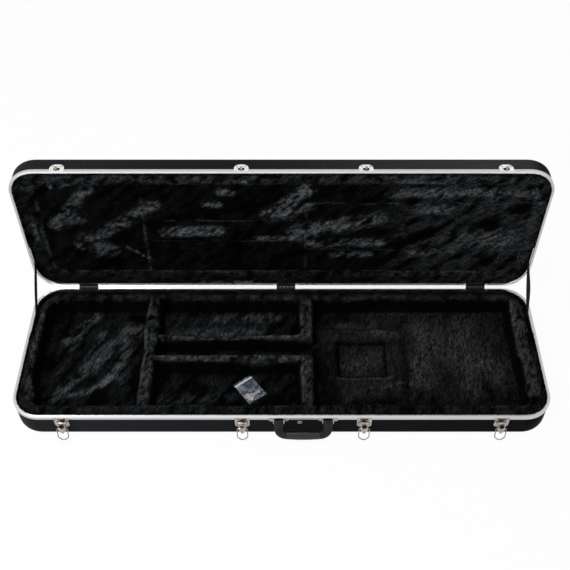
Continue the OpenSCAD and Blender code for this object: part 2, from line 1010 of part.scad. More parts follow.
// Frame of lever i: its pivot is the origin and it hangs along -z
module on_lever(i) {
    on_base_front(latch_xs[i - 1])
        translate([0, -pivot_out, -pivot_drop])
            rotate([-latch_lean, 0, 0])
                children();
}

module lever_pins() {
    color("#c9c6c0")
        for (x = latch_xs)
            on_base_front(x)
                translate([0, -pivot_out, -pivot_drop])
                    rod_x(lever_pin_r, -ear_in - ear_t, ear_in + ear_t);
}

module lever(i) {
    half = lever_w / 2;
    color("#c9c6c0")
        on_lever(i)
            difference() {
                union() {
                    rod_x(barrel_r, -half, half);
                    translate([0, 0, -bail_arm])
                        rod_x(barrel_r, -half, half);
                    upright(-lever_t / 2, lever_t / 2)
                        polygon([
                            [-half, 0],
                            [half, 0],
                            [half, lever_tip_h - lever_len],
                            [0, -lever_len],
                            [-half, lever_tip_h - lever_len]
                        ]);
                    upright(0, lever_t / 2 + boss_h)
                        translate([0, -boss_drop])
                            circle(boss_r);
                }
                upright(-barrel_r, lever_t + boss_h + over)
                    translate([0, -boss_drop])
                        circle(plug_r + pin_gap);
                rod_x(lever_pin_r + pin_gap, -lever_w, lever_w);
                translate([0, 0, -bail_arm])
                    rod_x(wire_r + pin_gap, -lever_w, lever_w);
            }
}

// Key plug in the boss of the locking latch, with a keyway in its face
module lock_plug() {
    color("#3a3936")
        on_lever(locked_latch)
            translate([0, 0, -boss_drop])
                difference() {
                    upright(-lever_t / 2, lever_t / 2 + boss_h - move_gap)
                        circle(plug_r);
                    upright(lever_t / 2, lever_t / 2 + boss_h)
                        square([keyway_w, keyway_h], center = true);
                }
}

// Wire loop that hangs from the lever's lower barrel and hooks on the catch
module bail(i) {
    leg = bail_w / 2;
    flat = bail_flat / 2;
    pin_in = lever_w / 4;
    shoulder = bail_v - bail_len;
    color("#c9c6c0")
        on_lever(i)
            translate([0, 0, -bail_arm])
                rotate([90, 0, 0])
                    bent_wire([
                        [pin_in, 0],
                        [leg, 0],
                        [leg, shoulder],
                        [flat, -bail_len],
                        [-flat, -bail_len],
                        [-leg, shoulder],
                        [-leg, 0],
                        [-pin_in, 0]
                    ]);
}

// Catch on the lid: an arched plate with a hook and a window over it
module catch(i) {
    x = latch_xs[i - 1];
    color("#c9c6c0")
        open_lid()
            difference() {
                on_lid_front(x)
                    difference() {
                        union() {
                            mirror([0, 0, 1])
                                stepped_plate()
                                    shield(catch_w, catch_h, catch_r, catch_drop);
                            translate([-hook_w / 2, -hook_y - hook_t, catch_drop])
                                cube([hook_w, hook_y + hook_t, hook_z1 - catch_drop]);
                            translate([-hook_w / 2, -hook_y - hook_t, catch_drop])
                                cube([hook_w, hook_t, bail_top_z + wire_r - catch_drop]);
                        }
                        upright(-shell_off - over, plate_t + tiny)
                            translate([-window_w / 2, hook_z1])
                                square([window_w, window_h]);
                    }
                catch_rivet_places(x)
                    translate([0, -over, 0])
                        rivet_shank(plate_grip, shank_r + pin_gap);
            }
}

module catch_rivets() {
    color("#c9c6c0")
        open_lid()
            for (x = latch_xs)
                catch_rivet_places(x)
                    rivet(plate_grip);
}

module handle_bracket(side) {
    color("#c9c6c0")
        difference() {
            on_base_front(handle_x + side * handle_span / 2)
                difference() {
                    union() {
                        stepped_plate()
                            shield(bracket_w, bracket_h, bracket_r, plate_drop);
                        for (flip = [0, 1])
                            mirror([flip, 0, 0])
                                ear(
                                    bracket_ear_in, bracket_ear_in + bracket_ear_t,
                                    bracket_r, handle_out, -handle_drop
                                );
                    }
                    translate([0, -handle_out, -handle_drop])
                        rod_x(handle_pin_r + pin_gap, -bracket_w, bracket_w);
                }
            bracket_rivet_places()
                translate([0, -over, 0])
                    rivet_shank(plate_grip, shank_r + pin_gap);
        }
}

module handle_bracket_left() {
    handle_bracket(-1);
}

module handle_bracket_right() {
    handle_bracket(1);
}

module handle_pins() {
    reach = bracket_ear_in + bracket_ear_t;
    color("#c9c6c0")
        for (side = [-1, 1])
            on_base_front(handle_x + side * handle_span / 2)
                translate([0, -handle_out, -handle_drop])
                    rod_x(handle_pin_r, -reach, reach);
}

module handle_rivets() {
    color("#c9c6c0")
        bracket_rivet_places()
            rivet(plate_grip);
}

// Frame of the handle: its pivot line is the X axis and it hangs along -z
module on_handle() {
    on_base_front(handle_x)
        translate([0, -handle_out, -handle_drop])
            rotate([-handle_lean, 0, 0])
                children();
}

module handle_frame() {
    half = (handle_span + arm_w) / 2;
    inner_w = handle_span - arm_w;
    color("#141516")
        on_handle()
            difference() {
                union() {
                    upright(-arm_t / 2, arm_t / 2)
                        difference() {
                            shield(2 * half, handle_reach, handle_r, 0);
                            shield(inner_w, handle_reach - bar_h, handle_in_r, -over);
                        }
                    for (side = [-1, 1])
                        translate([side * handle_span / 2, 0, 0])
                            rod_x(arm_t / 2, -arm_w / 2, arm_w / 2);
                }
                rod_x(handle_pin_r + pin_gap, -half - over, half + over);
            }
}

module handle_grip() {
    color("#141516")
        on_handle()
            translate([0, 0, bar_h / 2 - handle_reach])
                rotate([90, 0, 90])
                    translate([0, 0, -grip_w / 2])
                        linear_extrude(grip_w)
                            difference() {
                                rounded_rect(arm_t + 2 * grip_t, bar_h + 2 * grip_t, grip_r);
                                square([arm_t, bar_h], center = true);
                            }
}

module bumper_stud() {
    color("#c9c6c0")
        stud_place()
            rivet(wall, stud_r);
}

// Strap anchor along X: a washer inside the webbing and a shank to the valance
module anchor(side, place) {
    translate([side * (strap_x - washer_t), place[0], place[1]])
        mirror([side > 0 ? 0 : 1, 0, 0]) {
            rod_x(washer_r, 0, washer_t);
            rod_x(shank_r, 0, case_w / 2 - valance_w - strap_x + washer_t);
        }
}

module strap_anchors_base() {
    color("#1b1c1e")
        for (side = [-1, 1])
            anchor(side, anchor_base);
}

module strap_anchors_lid() {
    color("#1b1c1e")
        for (side = [-1, 1])
            anchor(side, anchor_lid);
}

// Webbing between the two anchors of one side, with round ends
module strap(side) {
    color("#111213")
        translate([side > 0 ? strap_x : -strap_x - strap_t, 0, 0])
            rotate([90, 0, 90])
                linear_extrude(strap_t)
                    translate(anchor_base)
                        rotate(strap_angle)
                            difference() {
                                union() {
                                    translate([0, -strap_w / 2])
                                        square([strap_span, strap_w]);
                                    for (end = [0, strap_span])
                                        translate([end, 0])
                                            circle(strap_w / 2);
                                }
                                for (end = [0, strap_span])
                                    translate([end, 0])
                                        circle(shank_r + pin_gap);
                            }
}

module strap_left() {
    strap(-1);
}

module strap_right() {
    strap(1);
}

module on_bag() {
    translate([bag_x, bag_y, floor_z])
        rotate([0, 0, bag_turn])
            children();
}

module key_bag() {
    color("#dfe3e8")
        on_bag()
            difference() {
                translate([-bag_w / 2, -bag_l / 2, 0])
                    cube([bag_w, bag_l, bag_t]);
                translate([film_t - bag_w / 2, film_t - bag_l / 2, film_t])
                    cube([bag_w - 2 * film_t, bag_l - 2 * film_t, bag_t - 2 * film_t]);
            }
}

// Two flat keys that lie side by side in the bag
module keys() {
    color("#b9b6b0")
        on_bag()
            translate([0, 0, film_t])
                for (side = [-1, 1])
                    translate([side * (bow_r + move_gap), -bag_l / 4, 0])
                        linear_extrude(key_t)
                            difference() {
                                union() {
                                    circle(bow_r);
                                    translate([-blade_w / 2, 0])
                                        square([blade_w, key_len - bow_r]);
                                }
                                translate([0, -bow_r / 3])
                                    circle(eye_r);
                            }
}

base_shell();
base_valance();
base_floor_pad();
base_border();
body_end_pad();
head_divider();
neck_rail_rear();
neck_rail_front();
body_divider_rear();
body_divider_front();
heel_platform();
lid_shell();
lid_valance();
lid_border();
lid_head_panel();
lid_neck_panels();
lid_body_panel();
hinge_pins();
hinge_rivets_base();
hinge_rivets_lid();
lever_pins();
latch_rivets();
catch_rivets();
lock_plug();
handle_bracket_left();
handle_bracket_right();
handle_pins();
handle_rivets();
handle_frame();
handle_grip();
bumper_stud();
strap_anchors_base();
strap_anchors_lid();
strap_left();
strap_right();
key_bag();
keys();
for (i = [1:3]) {
    hinge_leaf_base(i);
    hinge_leaf_lid(i);
}
for (i = [1:4]) {
    latch_plate(i);
    lever(i);
    bail(i);
    catch(i);
}
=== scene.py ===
import json
import math

import bmesh
import bpy
import numpy as np
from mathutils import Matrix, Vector


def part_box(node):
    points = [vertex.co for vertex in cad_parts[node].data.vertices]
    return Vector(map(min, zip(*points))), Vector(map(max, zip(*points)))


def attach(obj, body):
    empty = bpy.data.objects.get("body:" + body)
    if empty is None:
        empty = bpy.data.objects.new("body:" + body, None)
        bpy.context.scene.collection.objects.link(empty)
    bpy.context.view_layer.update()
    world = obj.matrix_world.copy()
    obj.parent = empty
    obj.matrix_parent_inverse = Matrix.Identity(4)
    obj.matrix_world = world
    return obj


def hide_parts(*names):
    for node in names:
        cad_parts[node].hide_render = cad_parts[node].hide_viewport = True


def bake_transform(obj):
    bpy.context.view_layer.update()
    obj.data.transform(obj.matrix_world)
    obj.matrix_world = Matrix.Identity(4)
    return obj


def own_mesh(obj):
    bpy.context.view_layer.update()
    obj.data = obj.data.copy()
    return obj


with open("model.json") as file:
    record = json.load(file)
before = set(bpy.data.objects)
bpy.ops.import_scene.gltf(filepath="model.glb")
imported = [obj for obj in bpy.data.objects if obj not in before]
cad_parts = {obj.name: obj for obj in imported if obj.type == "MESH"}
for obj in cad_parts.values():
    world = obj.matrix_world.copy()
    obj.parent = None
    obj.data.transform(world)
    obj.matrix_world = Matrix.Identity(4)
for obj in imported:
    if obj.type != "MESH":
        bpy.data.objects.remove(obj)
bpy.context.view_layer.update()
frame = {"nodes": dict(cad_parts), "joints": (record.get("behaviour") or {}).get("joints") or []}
NODES = frame["nodes"]
MM = 0.001


# Shaders

class Sig:
    """A shader socket. Arithmetic on it adds Math nodes to its tree."""

    def __init__(self, tree, socket=None):
        self.tree, self.socket = tree, socket

    def node(self, kind, settings=None, sockets=None, out=0):
        made = self.tree.nodes.new("ShaderNode" + kind)
        for name, value in (settings or {}).items():
            if name == "stops":
                marks = made.color_ramp.elements
                while len(marks) < len(value):
                    marks.new(1.0)
                for mark, (place, shade) in zip(marks, value):
                    mark.position, mark.color = place, (*[shade] * 3, 1)
            else:
                setattr(made, name, value)
        for name, value in (sockets or {}).items():
            if isinstance(value, Sig):
                self.tree.links.new(value.socket, made.inputs[name])
            else:
                made.inputs[name].default_value = value
        return Sig(self.tree, made.outputs[out] if made.outputs else None)

    def math(self, operation, *values):
        return self.node("Math", {"operation": operation}, dict(enumerate(values)))

    def __add__(self, other):
        return self.math("ADD", self, other)

    def __sub__(self, other):
        return self.math("SUBTRACT", self, other)

    def __rsub__(self, other):
        return self.math("SUBTRACT", other, self)

    def __mul__(self, other):
        return self.math("MULTIPLY", self, other)

    __radd__, __rmul__ = __add__, __mul__

    def clamp(self):
        return self.node("Clamp", None, {"Value": self})

    def ramp(self, *stops):
        return self.node("ValToRGB", {"stops": stops}, {"Fac": self})

    def tint(self, low, high):
        """Colour between low and high by this value. Each is a colour or another socket."""
        low, high = (end if isinstance(end, Sig) else (*end, 1) for end in (low, high))
        return self.node(
            "Mix", {"data_type": "RGBA"}, {"Factor": self, 6: low, 7: high}, out=2
        )

    def most(self, other):
        return self.math("MAXIMUM", self, other)

    def place(self, scale=(1, 1, 1), turn=(0, 0, 0)):
        """Object coordinates, scaled and turned."""
        coords = self.node("TexCoord", out=3)
        return self.node(
            "Mapping", None, {"Vector": coords, "Scale": scale, "Rotation": turn}
        )

    def along(self, axis):
        """One object coordinate, in metres."""
        return self.node("SeparateXYZ", None, {"Vector": self.place()}, out="XYZ".index(axis))

    def noise(self, size, detail=3.0, rough=0.55, at=None):
        """Noise from 0 to 1 with features of that size in metres."""
        at = at or self.place()
        return self.node(
            "TexNoise", None,
            {"Vector": at, "Scale": 1 / size, "Detail": detail, "Roughness": rough},
        )

    def cells(self, size):
        """Cells of that size in metres, by the distance from their middles."""
        return self.node("TexVoronoi", None, {"Vector": self.place(), "Scale": 1 / size})

    def bump(self, depth, strength=1.0, over=None):
        """Normal from this value as a height, in metres per unit."""
        sockets = {"Height": self, "Distance": depth, "Strength": strength}
        if over:
            sockets["Normal"] = over
        return self.node("Bump", None, sockets)


def finish(name, paint, **fixed):
    """Material whose even values are fixed and whose varying ones come from paint."""
    made = bpy.data.materials.new(name)
    made.use_nodes = True
    tree = made.node_tree
    shader = tree.nodes["Principled BSDF"]
    for socket, value in fixed.items():
        shader.inputs[socket.replace("_", " ")].default_value = value
    for socket, value in paint(Sig(tree)).items():
        tree.links.new(value.socket, shader.inputs[socket])
    return made


def coat(by, low, high, rough, relief, depth, strength=0.5):
    """Colour between low and high by one value, a roughness, and a relief in metres per unit."""
    return {
        "Base Color": by.tint(low, high),
        "Roughness": rough.clamp(),
        "Normal": relief.bump(depth, strength),
    }


def grained_shell(s):
    """Moulded shell with a fine leather grain and a few scuffs. It is painted a little lighter
    towards the head end, as light from that side, and painted lighter along the lid's front wall
    towards the body end, as a painted highlight."""
    grain = s.cells(0.0016) * 0.7 + s.noise(0.0009, 2) * 0.5
    scuff = s.noise(0.03, 5, 0.65, s.place((0.4, 1, 1))).ramp((0.5, 0), (0.72, 1))
    x, z = s.along("X"), s.along("Z")
    # Painted light: lighter towards the head end, as from a lamp on that side, and a painted
    # highlight along the lid's front wall, stronger towards the body end.
    painted_head_end_light = (0.45 - x * 1.25).clamp()
    lid_front = (z * 60 - 27.2).clamp()
    painted_front_highlight = (lid_front * (x * 1.9 + 0.2).clamp() * (s.noise(0.05) * 0.3 + 0.75)).clamp()
    shade = (scuff * 0.2 + s.noise(0.2) * 0.2 + painted_head_end_light * 0.7).clamp().tint(
        (0.001, 0.0014, 0.0014), (0.0185, 0.0188, 0.0215)
    )
    return coat(
        painted_front_highlight, shade, (0.080, 0.0785, 0.0765), scuff * 0.1 + s.noise(0.004) * 0.14 + 0.42,
        grain, 0.00022, 0.55,
    )


def drawn_lines(s):
    """Fine lines of an extrusion, and the marks of handling."""
    return s.noise(0.0007, 2, 0.5, s.place((0.02, 0.02, 1))), s.noise(0.02, 6, 0.7)


def shaded_satin_rim(s):
    """Outer side of the rims, drawn and left satin, and painted greyer than the mating face: the
    shaded copy of one aluminium.
    """
    lines, marks = drawn_lines(s)
    return coat(
        marks * 0.7 + lines * 0.3, (0.40, 0.405, 0.42), (0.66, 0.66, 0.675),
        lines * 0.12 + marks * 0.16 + 0.2, lines + marks * 0.4, 0.00004,
    )


def lit_rim(s):
    """Mating face, the lit copy of the rims' aluminium: painted bright, and smoother, beside the
    hinges and along the lid's front; painted shade, and a rougher face, at the ends and towards the
    body end."""
    lines, marks = drawn_lines(s)
    x, y, z = (s.along(axis) for axis in "XYZ")
    # Painted shade: darker towards the body end and at the ends, none beside the hinges, and along
    # the lid's front only at its upper edge and towards the body end. Handling marks and drawn
    # lines are mixed in.
    dull_and_painted_shade = (x * 0.75 + 0.42).clamp() * 0.75
    dull_and_painted_shade = dull_and_painted_shade.most((x.math("ABSOLUTE", x) * 14 - 7.9).clamp())
    hinged = ((y * 30 - 4.8).clamp() * (4.6 - z * 30).clamp()).clamp()
    lid_front = (z * 60 - 26.8).clamp()
    upper = (z * 400 - 187.0).clamp()
    dull_and_painted_shade = dull_and_painted_shade * (1 - lid_front) + lid_front * (upper * 0.14 + (x * 0.35).clamp())
    dull_and_painted_shade = (dull_and_painted_shade * (1 - hinged) + marks * 0.16 - 0.08 + lines * 0.06).clamp()
    return coat(
        dull_and_painted_shade, (0.93, 0.935, 0.945), (0.35, 0.352, 0.36),
        lines * 0.1 + dull_and_painted_shade * 0.14 + 0.16 - lid_front * 0.08, lines + marks * 0.4, 0.00004,
    )


def plated(bright, worn):
    """Stamped and plated steel, warm in tint, with a few dull spots painted darker as dark
    reflections.
    """
    def paint(s):
        dull_and_painted_shade = s.noise(0.009, 4, 0.6).ramp((0.44, 0), (0.72, 1))
        wave = s.noise(0.007, 2)
        # The dull spots take the colour worn: painted dark reflection.
        return coat(
            (dull_and_painted_shade * 0.7 + wave * 0.2).clamp(), bright, worn, dull_and_painted_shade * 0.16 + wave * 0.08 + 0.1,
            wave + dull_and_painted_shade * 0.2, 0.0004, 0.7,
        )
    return paint


def plated_wire(s):
    """Drawn and plated wire, painted dark, and darker in patches, as dark reflections."""
    painted_dark_patches = s.noise(0.006, 4, 0.6).ramp((0.38, 0), (0.66, 1))
    return coat(
        painted_dark_patches, (0.42, 0.40, 0.37), (0.09, 0.082, 0.074), painted_dark_patches * 0.2 + 0.16,
        s.noise(0.0008, 2), 0.00004,
    )


def black_steel(s):
    """Stoved black paint, rubbed a little on the high spots."""
    rub = s.noise(0.006, 5, 0.7).ramp((0.55, 0), (0.75, 1))
    skin = s.noise(0.0012, 3)
    return coat(
        rub, (0.008, 0.008, 0.009), (0.03, 0.03, 0.031), rub * 0.15 + skin * 0.12 + 0.33,
        skin, 0.00015,
    )


def handle_plastic(low, high, rough):
    """Soft moulded plastic with a close grain, polished where it is held."""
    def paint(s):
        grain = s.cells(0.0013) + s.noise(0.0008, 2) * 0.5
        worn = s.noise(0.018, 4).ramp((0.4, 0), (0.7, 1))
        return coat(worn, low, high, rough - worn * 0.16 + s.noise(0.002) * 0.08, grain, 0.0002)
    return paint


def woven_tape(s):
    """Plain weave, with its threads along and across the tape."""
    along, across = (
        s.node(
            "TexWave", {"wave_type": "BANDS", "bands_direction": "DIAGONAL"},
            {"Vector": s.place(way), "Scale": 230.0, "Distortion": 0.4, "Detail": 1.0}, out=1,
        )
        for way in ((1, 1, 1), (1, -1, 1))
    )
    thread = along.most(across * 0.8)
    return coat(
        thread * 0.7 + s.noise(0.01) * 0.4, (0.004, 0.004, 0.0045), (0.02, 0.02, 0.022),
        0.9 - thread * 0.2, thread, 0.0004, 0.7,
    )


def clear_film(s):
    """Thin clear film, hazy where it is creased."""
    crease = s.noise(0.012, 5, 0.65, s.place((1, 1, 0.2))).ramp((0.45, 0), (0.62, 1))
    film = coat(
        crease, (0.22, 0.25, 0.32), (0.55, 0.59, 0.68), crease * 0.2 + 0.06,
        s.noise(0.008, 3) + crease * 0.6, 0.0012, 0.8,
    )
    return {**film, "Alpha": (crease * 0.16 + s.noise(0.03) * 0.1 + 0.2).clamp()}


def zip_film(s):
    """Thicker, whiter film of the bag's press strip."""
    rib = s.noise(0.003, 2, 0.5)
    return {
        "Base Color": rib.tint((0.62, 0.65, 0.7), (0.92, 0.94, 0.97)),
        "Roughness": (rib * 0.2 + 0.15).clamp(),
        "Alpha": (rib * 0.2 + 0.68).clamp(),
    }


def cut_steel(s):
    """Milled steel of the keys, with the cutter's lines."""
    cut = s.noise(0.0006, 2, 0.5, s.place((1, 0.15, 1), (0, 0, 0.9)))
    return coat(
        cut * 0.6 + s.noise(0.006) * 0.5, (0.5, 0.48, 0.45), (0.78, 0.74, 0.68),
        cut * 0.2 + 0.2, cut, 0.00006,
    )


def lock_face(s):
    """Turned face of the lock plug, painted dark as the shade in its hole."""
    turn = s.noise(0.0008, 3)
    return coat(turn, (0.035, 0.03, 0.026), (0.12, 0.105, 0.09), turn * 0.3 + 0.25, turn, 0.0001)


def well_plastic(s):
    """Dark moulded plastic, dusty in the dish: painted shade in the key wells and behind the
    catches' windows.
    """
    dust = s.noise(0.002, 4).ramp((0.45, 0), (0.75, 1))
    return coat(
        dust, (0.004, 0.0032, 0.0028), (0.016, 0.012, 0.010), dust * 0.2 + 0.4, dust, 0.0001
    )


def plush(comb):
    """Long-pile plush, near black, with painted light: one point attribute is high where the pile's
    sheen and painted highlights lie and low where shade is painted, and 'warm' is high where it is
    lit through, a warmer painted light."""
    def paint(s):
        lay = s.place((1, 1, 1), comb)
        drawn, fine = (
            s.node("Mapping", None, {"Vector": lay, "Scale": (stretch, 1, 1)})
            for stretch in (0.3, 0.22)
        )
        strand, fibre = s.noise(0.0046, 4, 0.7, drawn), s.noise(0.0019, 2, 0.6, fine)
        clump = s.noise(0.015, 4, 0.65)
        brushed = s.node("Attribute", {"attribute_name": "brushed"}, out=2)
        warm = s.node("Attribute", {"attribute_name": "warm"}, out=2)
        tips = strand.ramp((0.38, 0), (0.66, 1)) * 0.7 + fibre.ramp((0.42, 0), (0.66, 1)) * 0.5
        light = (brushed * (tips * 1.1 + clump * 0.5 - 0.24)).clamp()
        dark = (clump * 0.5 + tips * 0.5).tint((0.0001, 0.0001, 0.0001), (0.0015, 0.0018, 0.0018))
        pale = warm.tint((0.135, 0.146, 0.156), (0.118, 0.114, 0.107))
        return {
            "Base Color": light.tint(dark, pale),
            "Normal": strand.bump(0.0026, 0.8, clump.bump(0.006, 0.5)),
        }
    return paint


SHELL = finish("moulded_shell", grained_shell, Specular_IOR_Level=0.014)
# Two copies of the rims' aluminium: a lit one for the mating faces and a shaded one for the rest,
# as painted light and shade.
LIT_RIM = finish("lit_rim", lit_rim, Metallic=1.0)
SHADED_SATIN_RIM = finish("shaded_satin_rim", shaded_satin_rim, Metallic=1.0)
# The latches take the plated nickel painted darker and the catches the same nickel painted lighter:
# painted shade and painted highlight.
NICKEL = finish(
    "latch_nickel", plated((0.46, 0.427, 0.39), (0.17, 0.15, 0.13)), Metallic=1.0
)
CATCH = finish(
    "catch_nickel", plated((0.90, 0.875, 0.85), (0.55, 0.52, 0.49)), Metallic=1.0
)
WIRE = finish("plated_wire", plated_wire, Metallic=1.0)
BLACK_STEEL = finish("black_steel", black_steel, Specular_IOR_Level=0.4)
HANDLE = finish(
    "handle_frame", handle_plastic((0.007, 0.0076, 0.008), (0.014, 0.015, 0.0158), 0.46),
    Specular_IOR_Level=0.15,
)
GRIP = finish(
    "handle_grip", handle_plastic((0.0035, 0.0037, 0.0038), (0.008, 0.0083, 0.0086), 0.38),
    Specular_IOR_Level=0.42,
)
WEBBING = finish("woven_tape", woven_tape, Specular_IOR_Level=0.15)
FILM = finish("clear_film", clear_film, Specular_IOR_Level=0.8)
ZIP = finish("zip_film", zip_film, Specular_IOR_Level=0.6)
KEY_STEEL = finish("cut_steel", cut_steel, Metallic=1.0)
LOCK = finish("lock_face", lock_face, Metallic=0.7)
WELL = finish("well_plastic", well_plastic, Specular_IOR_Level=0.12)
SHEEN = dict(
    Roughness=0.95, Specular_IOR_Level=0.01, Sheen_Weight=0.004, Sheen_Roughness=0.4,
    Sheen_Tint=(0.72, 0.76, 0.85, 1),
)
BASE_PLUSH = finish("base_plush", plush((0, 0, -1.3)), **SHEEN)
LID_PLUSH = finish("lid_plush", plush((0, 0.75, 0)), **SHEEN)


# Values of the case, in millimetres

def box(node):
    """Corners of a CAD node in millimetres."""
    low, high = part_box(node)
    return np.array(low) / MM, np.array(high) / MM


HALF_W, HALF_D = box("base_valance")[1][:2]
CORNER_R = 65.0
RIM = 74.0
LID_FACE_Y = box("lid_valance")[0][1]
HINGE_SUM = 269.8
FLOOR_Z = box("base_floor_pad")[1][2]


# Smooth fields

LATTICE_SEED, LAYERS, CELLS = 41, 8, 64
LATTICE = np.random.default_rng(LATTICE_SEED).random((LAYERS, CELLS, CELLS)) * 2 - 1


def waves(layer, x, y, size):
    """Smooth noise from -1 to 1 with features of that size."""
    table = LATTICE[layer]
    u, v = np.asarray(x) / size + 1000.0, np.asarray(y) / size + 1000.0
    i, j = np.floor(u).astype(int), np.floor(v).astype(int)
    a, b = u - i, v - j
    a, b = a * a * (3 - 2 * a), b * b * (3 - 2 * b)
    corner = [[table[(i + p) % CELLS, (j + q) % CELLS] for q in (0, 1)] for p in (0, 1)]
    near = corner[0][0] * (1 - b) + corner[0][1] * b
    far = corner[1][0] * (1 - b) + corner[1][1] * b
    return near * (1 - a) + far * a


def turned(a, b, turn):
    """A flat point turned about the origin, in radians."""
    c, d = math.cos(turn), math.sin(turn)
    return c * a - d * b, d * a + c * b


def bell(x, width):
    """1 at 0, and falling away on both sides with that width."""
    return np.exp(-((x / width) ** 2))


def inside(x, y, x0, x1, y0, y1, r):
    """Depth inside a rectangle with round corners: positive inside it."""
    u = np.abs(x - (x0 + x1) / 2) - (x1 - x0) / 2 + r
    v = np.abs(y - (y0 + y1) / 2) - (y1 - y0) / 2 + r
    return r - np.hypot(np.maximum(u, 0), np.maximum(v, 0)) - np.minimum(
        np.maximum(u, v), 0
    )


def offset(x, y):
    """Distance from the case outline inwards."""
    return inside(x, y, -HALF_W, HALF_W, -HALF_D, HALF_D, CORNER_R)


def ease(t):
    """Smooth step from 0 to 1."""
    t = np.clip(t, 0, 1)
    return t * t * t * (t * (6 * t - 15) + 10)


def blunt_max(a, b, soft):
    """The higher of two fields, with a round seam where they cross."""
    h = np.maximum(soft - np.abs(a - b), 0) / soft
    return np.maximum(a, b) + h * h * soft / 4


# Meshes

def add(name, data):
    """Object with that data, in the scene."""
    made = bpy.data.objects.new(name, data)
    bpy.context.scene.collection.objects.link(made)
    return made


def make(name, points, faces, body, material, smooth=True):
    """Piece from points in millimetres."""
    mesh = bpy.data.meshes.new(name)
    mesh.from_pydata((np.asarray(points, float) * MM).tolist(), [], faces)
    mesh.validate()
    mesh.polygons.foreach_set("use_smooth", [smooth] * len(mesh.polygons))
    mesh.materials.append(material)
    piece = add(name, mesh)
    if body:
        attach(piece, body)
    return piece


def coords(mesh):
    """Points of a mesh, in metres."""
    flat = np.zeros(len(mesh.vertices) * 3, np.float32)
    mesh.vertices.foreach_get("co", flat)
    return flat.reshape(-1, 3).astype(float)


def move(mesh, points):
    """Put the points of a mesh in place, in metres."""
    mesh.vertices.foreach_set("co", points.astype(np.float32).ravel())
    mesh.update()


def tidy_normals(piece):
    """Turn all faces of a closed piece outwards."""
    bm = bmesh.new()
    bm.from_mesh(piece.data)
    bmesh.ops.recalc_face_normals(bm, faces=bm.faces)
    bm.to_mesh(piece.data)
    bm.free()


def ring(half_a, half_b, power, count=32):
    """Rounded section with those half sizes: square corners at a high power."""
    turn = np.linspace(0, 2 * math.pi, count, endpoint=False)
    c, d = np.cos(turn), np.sin(turn)
    return np.stack(
        [
            half_a * np.sign(c) * np.abs(c) ** (2 / power),
            half_b * np.sign(d) * np.abs(d) ** (2 / power),
        ],
        1,
    )


def loft(name, rings, body, material):
    """Closed body through rings of points, with a flat face at each end."""
    count = len(rings[0])
    faces = []
    for i in range(len(rings) - 1):
        for k in range(count):
            a, b = i * count + k, i * count + (k + 1) % count
            faces.append((a, b, b + count, a + count))
    faces.append(tuple(range(count))[::-1])
    faces.append(tuple(range((len(rings) - 1) * count, len(rings) * count)))
    piece = make(name, np.concatenate(rings), faces, body, material)
    tidy_normals(piece)
    return piece


def grid_cells(nx, ny):
    """Cells of a grid, by the numbers of their four points."""
    ids = np.arange(nx * ny).reshape(nx, ny)
    corners = [ids[:-1, :-1], ids[1:, :-1], ids[1:, 1:], ids[:-1, 1:]]
    return np.stack(corners, -1).reshape(-1, 4)


def double_sheet(name, front, back, cells, body, material):
    """Closed piece of two sheets of points with the same cells, joined round their rim."""
    count = len(front)
    edges = np.concatenate([cells[:, [k, (k + 1) % 4]] for k in range(4)])
    sides = dict.fromkeys(map(tuple, edges.tolist()))
    faces = cells.tolist() + (cells[:, ::-1] + count).tolist()
    faces += [(b, a, a + count, b + count) for a, b in sides if (b, a) not in sides]
    piece = make(name, np.concatenate([front, back]), faces, body, material)
    tidy_normals(piece)
    return piece


def evaluated(piece):
    """The piece's mesh with its modifiers applied, in place of them."""
    view = bpy.context.evaluated_depsgraph_get()
    mesh = bpy.data.meshes.new_from_object(piece.evaluated_get(view))
    piece.modifiers.clear()
    old, piece.data = piece.data, mesh
    bpy.data.meshes.remove(old)
    mesh.polygons.foreach_set("use_smooth", [True] * len(mesh.polygons))
    return mesh


# Plush: a padded cover, and tufts of pile on it

EDGE_IN, STRAP_ROOM = 9.0, 13.2
STRAP_FROM_X, STRAP_Y = 540.0, 70.0
EDGE_ROUNDS, SLOPE_STEP = 6, 0.1
PUFF_FRAMES = 20
HELD_RIM = 16.0
PILE_SEED = 12
TUFTS = 38000
TUFT_LEAN, TUFT_REACH, TUFT_STRAY, TUFT_ROOT = (48, 76), (4.5, 8.5), 0.35, 0.5
TUFT_CORNERS = (0, 2.1, 4.2)
FOOT_LIGHT, TIP_LIGHT, LEAST_LIGHT = 0.3, 1.2, 0.03
FRINGE = 9000
FRINGE_IN, FRINGE_REACH, FRINGE_SLIP, FRINGE_HALF = 9.4, (2.6, 4.0), 1.5, 0.9
FRINGE_LIGHT = 0.3
LEAVES = [box(f"hinge_leaf_base_{i}") for i in (1, 2, 3)]
LEAF_ROOM, LEAF_REACH, FRINGE_BY_LEAF = 7.0, 20.0, 0.4


def beside_strap(x, y):
    """1 beside the straps, 0 elsewhere."""
    return ease((np.abs(x) - STRAP_FROM_X) / 50) * ease((y - STRAP_Y + 30) / 30)


def plush_edge(x, y):
    """Offset from the case outline at which the plush ends: further in beside the straps."""
    return EDGE_IN + (STRAP_ROOM - EDGE_IN) * beside_strap(x, y)


def by_rim(x, y):
    """1 where the padding meets the rim, 0 further in."""
    return ease((18 - offset(x, y)) / 8)


def flat_place(x, y):
    """Place of a point on the flat cloth, from 0 to 1 both ways."""
    return np.stack([x / HALF_W, y / HALF_D], 1) * 0.49 + 0.5


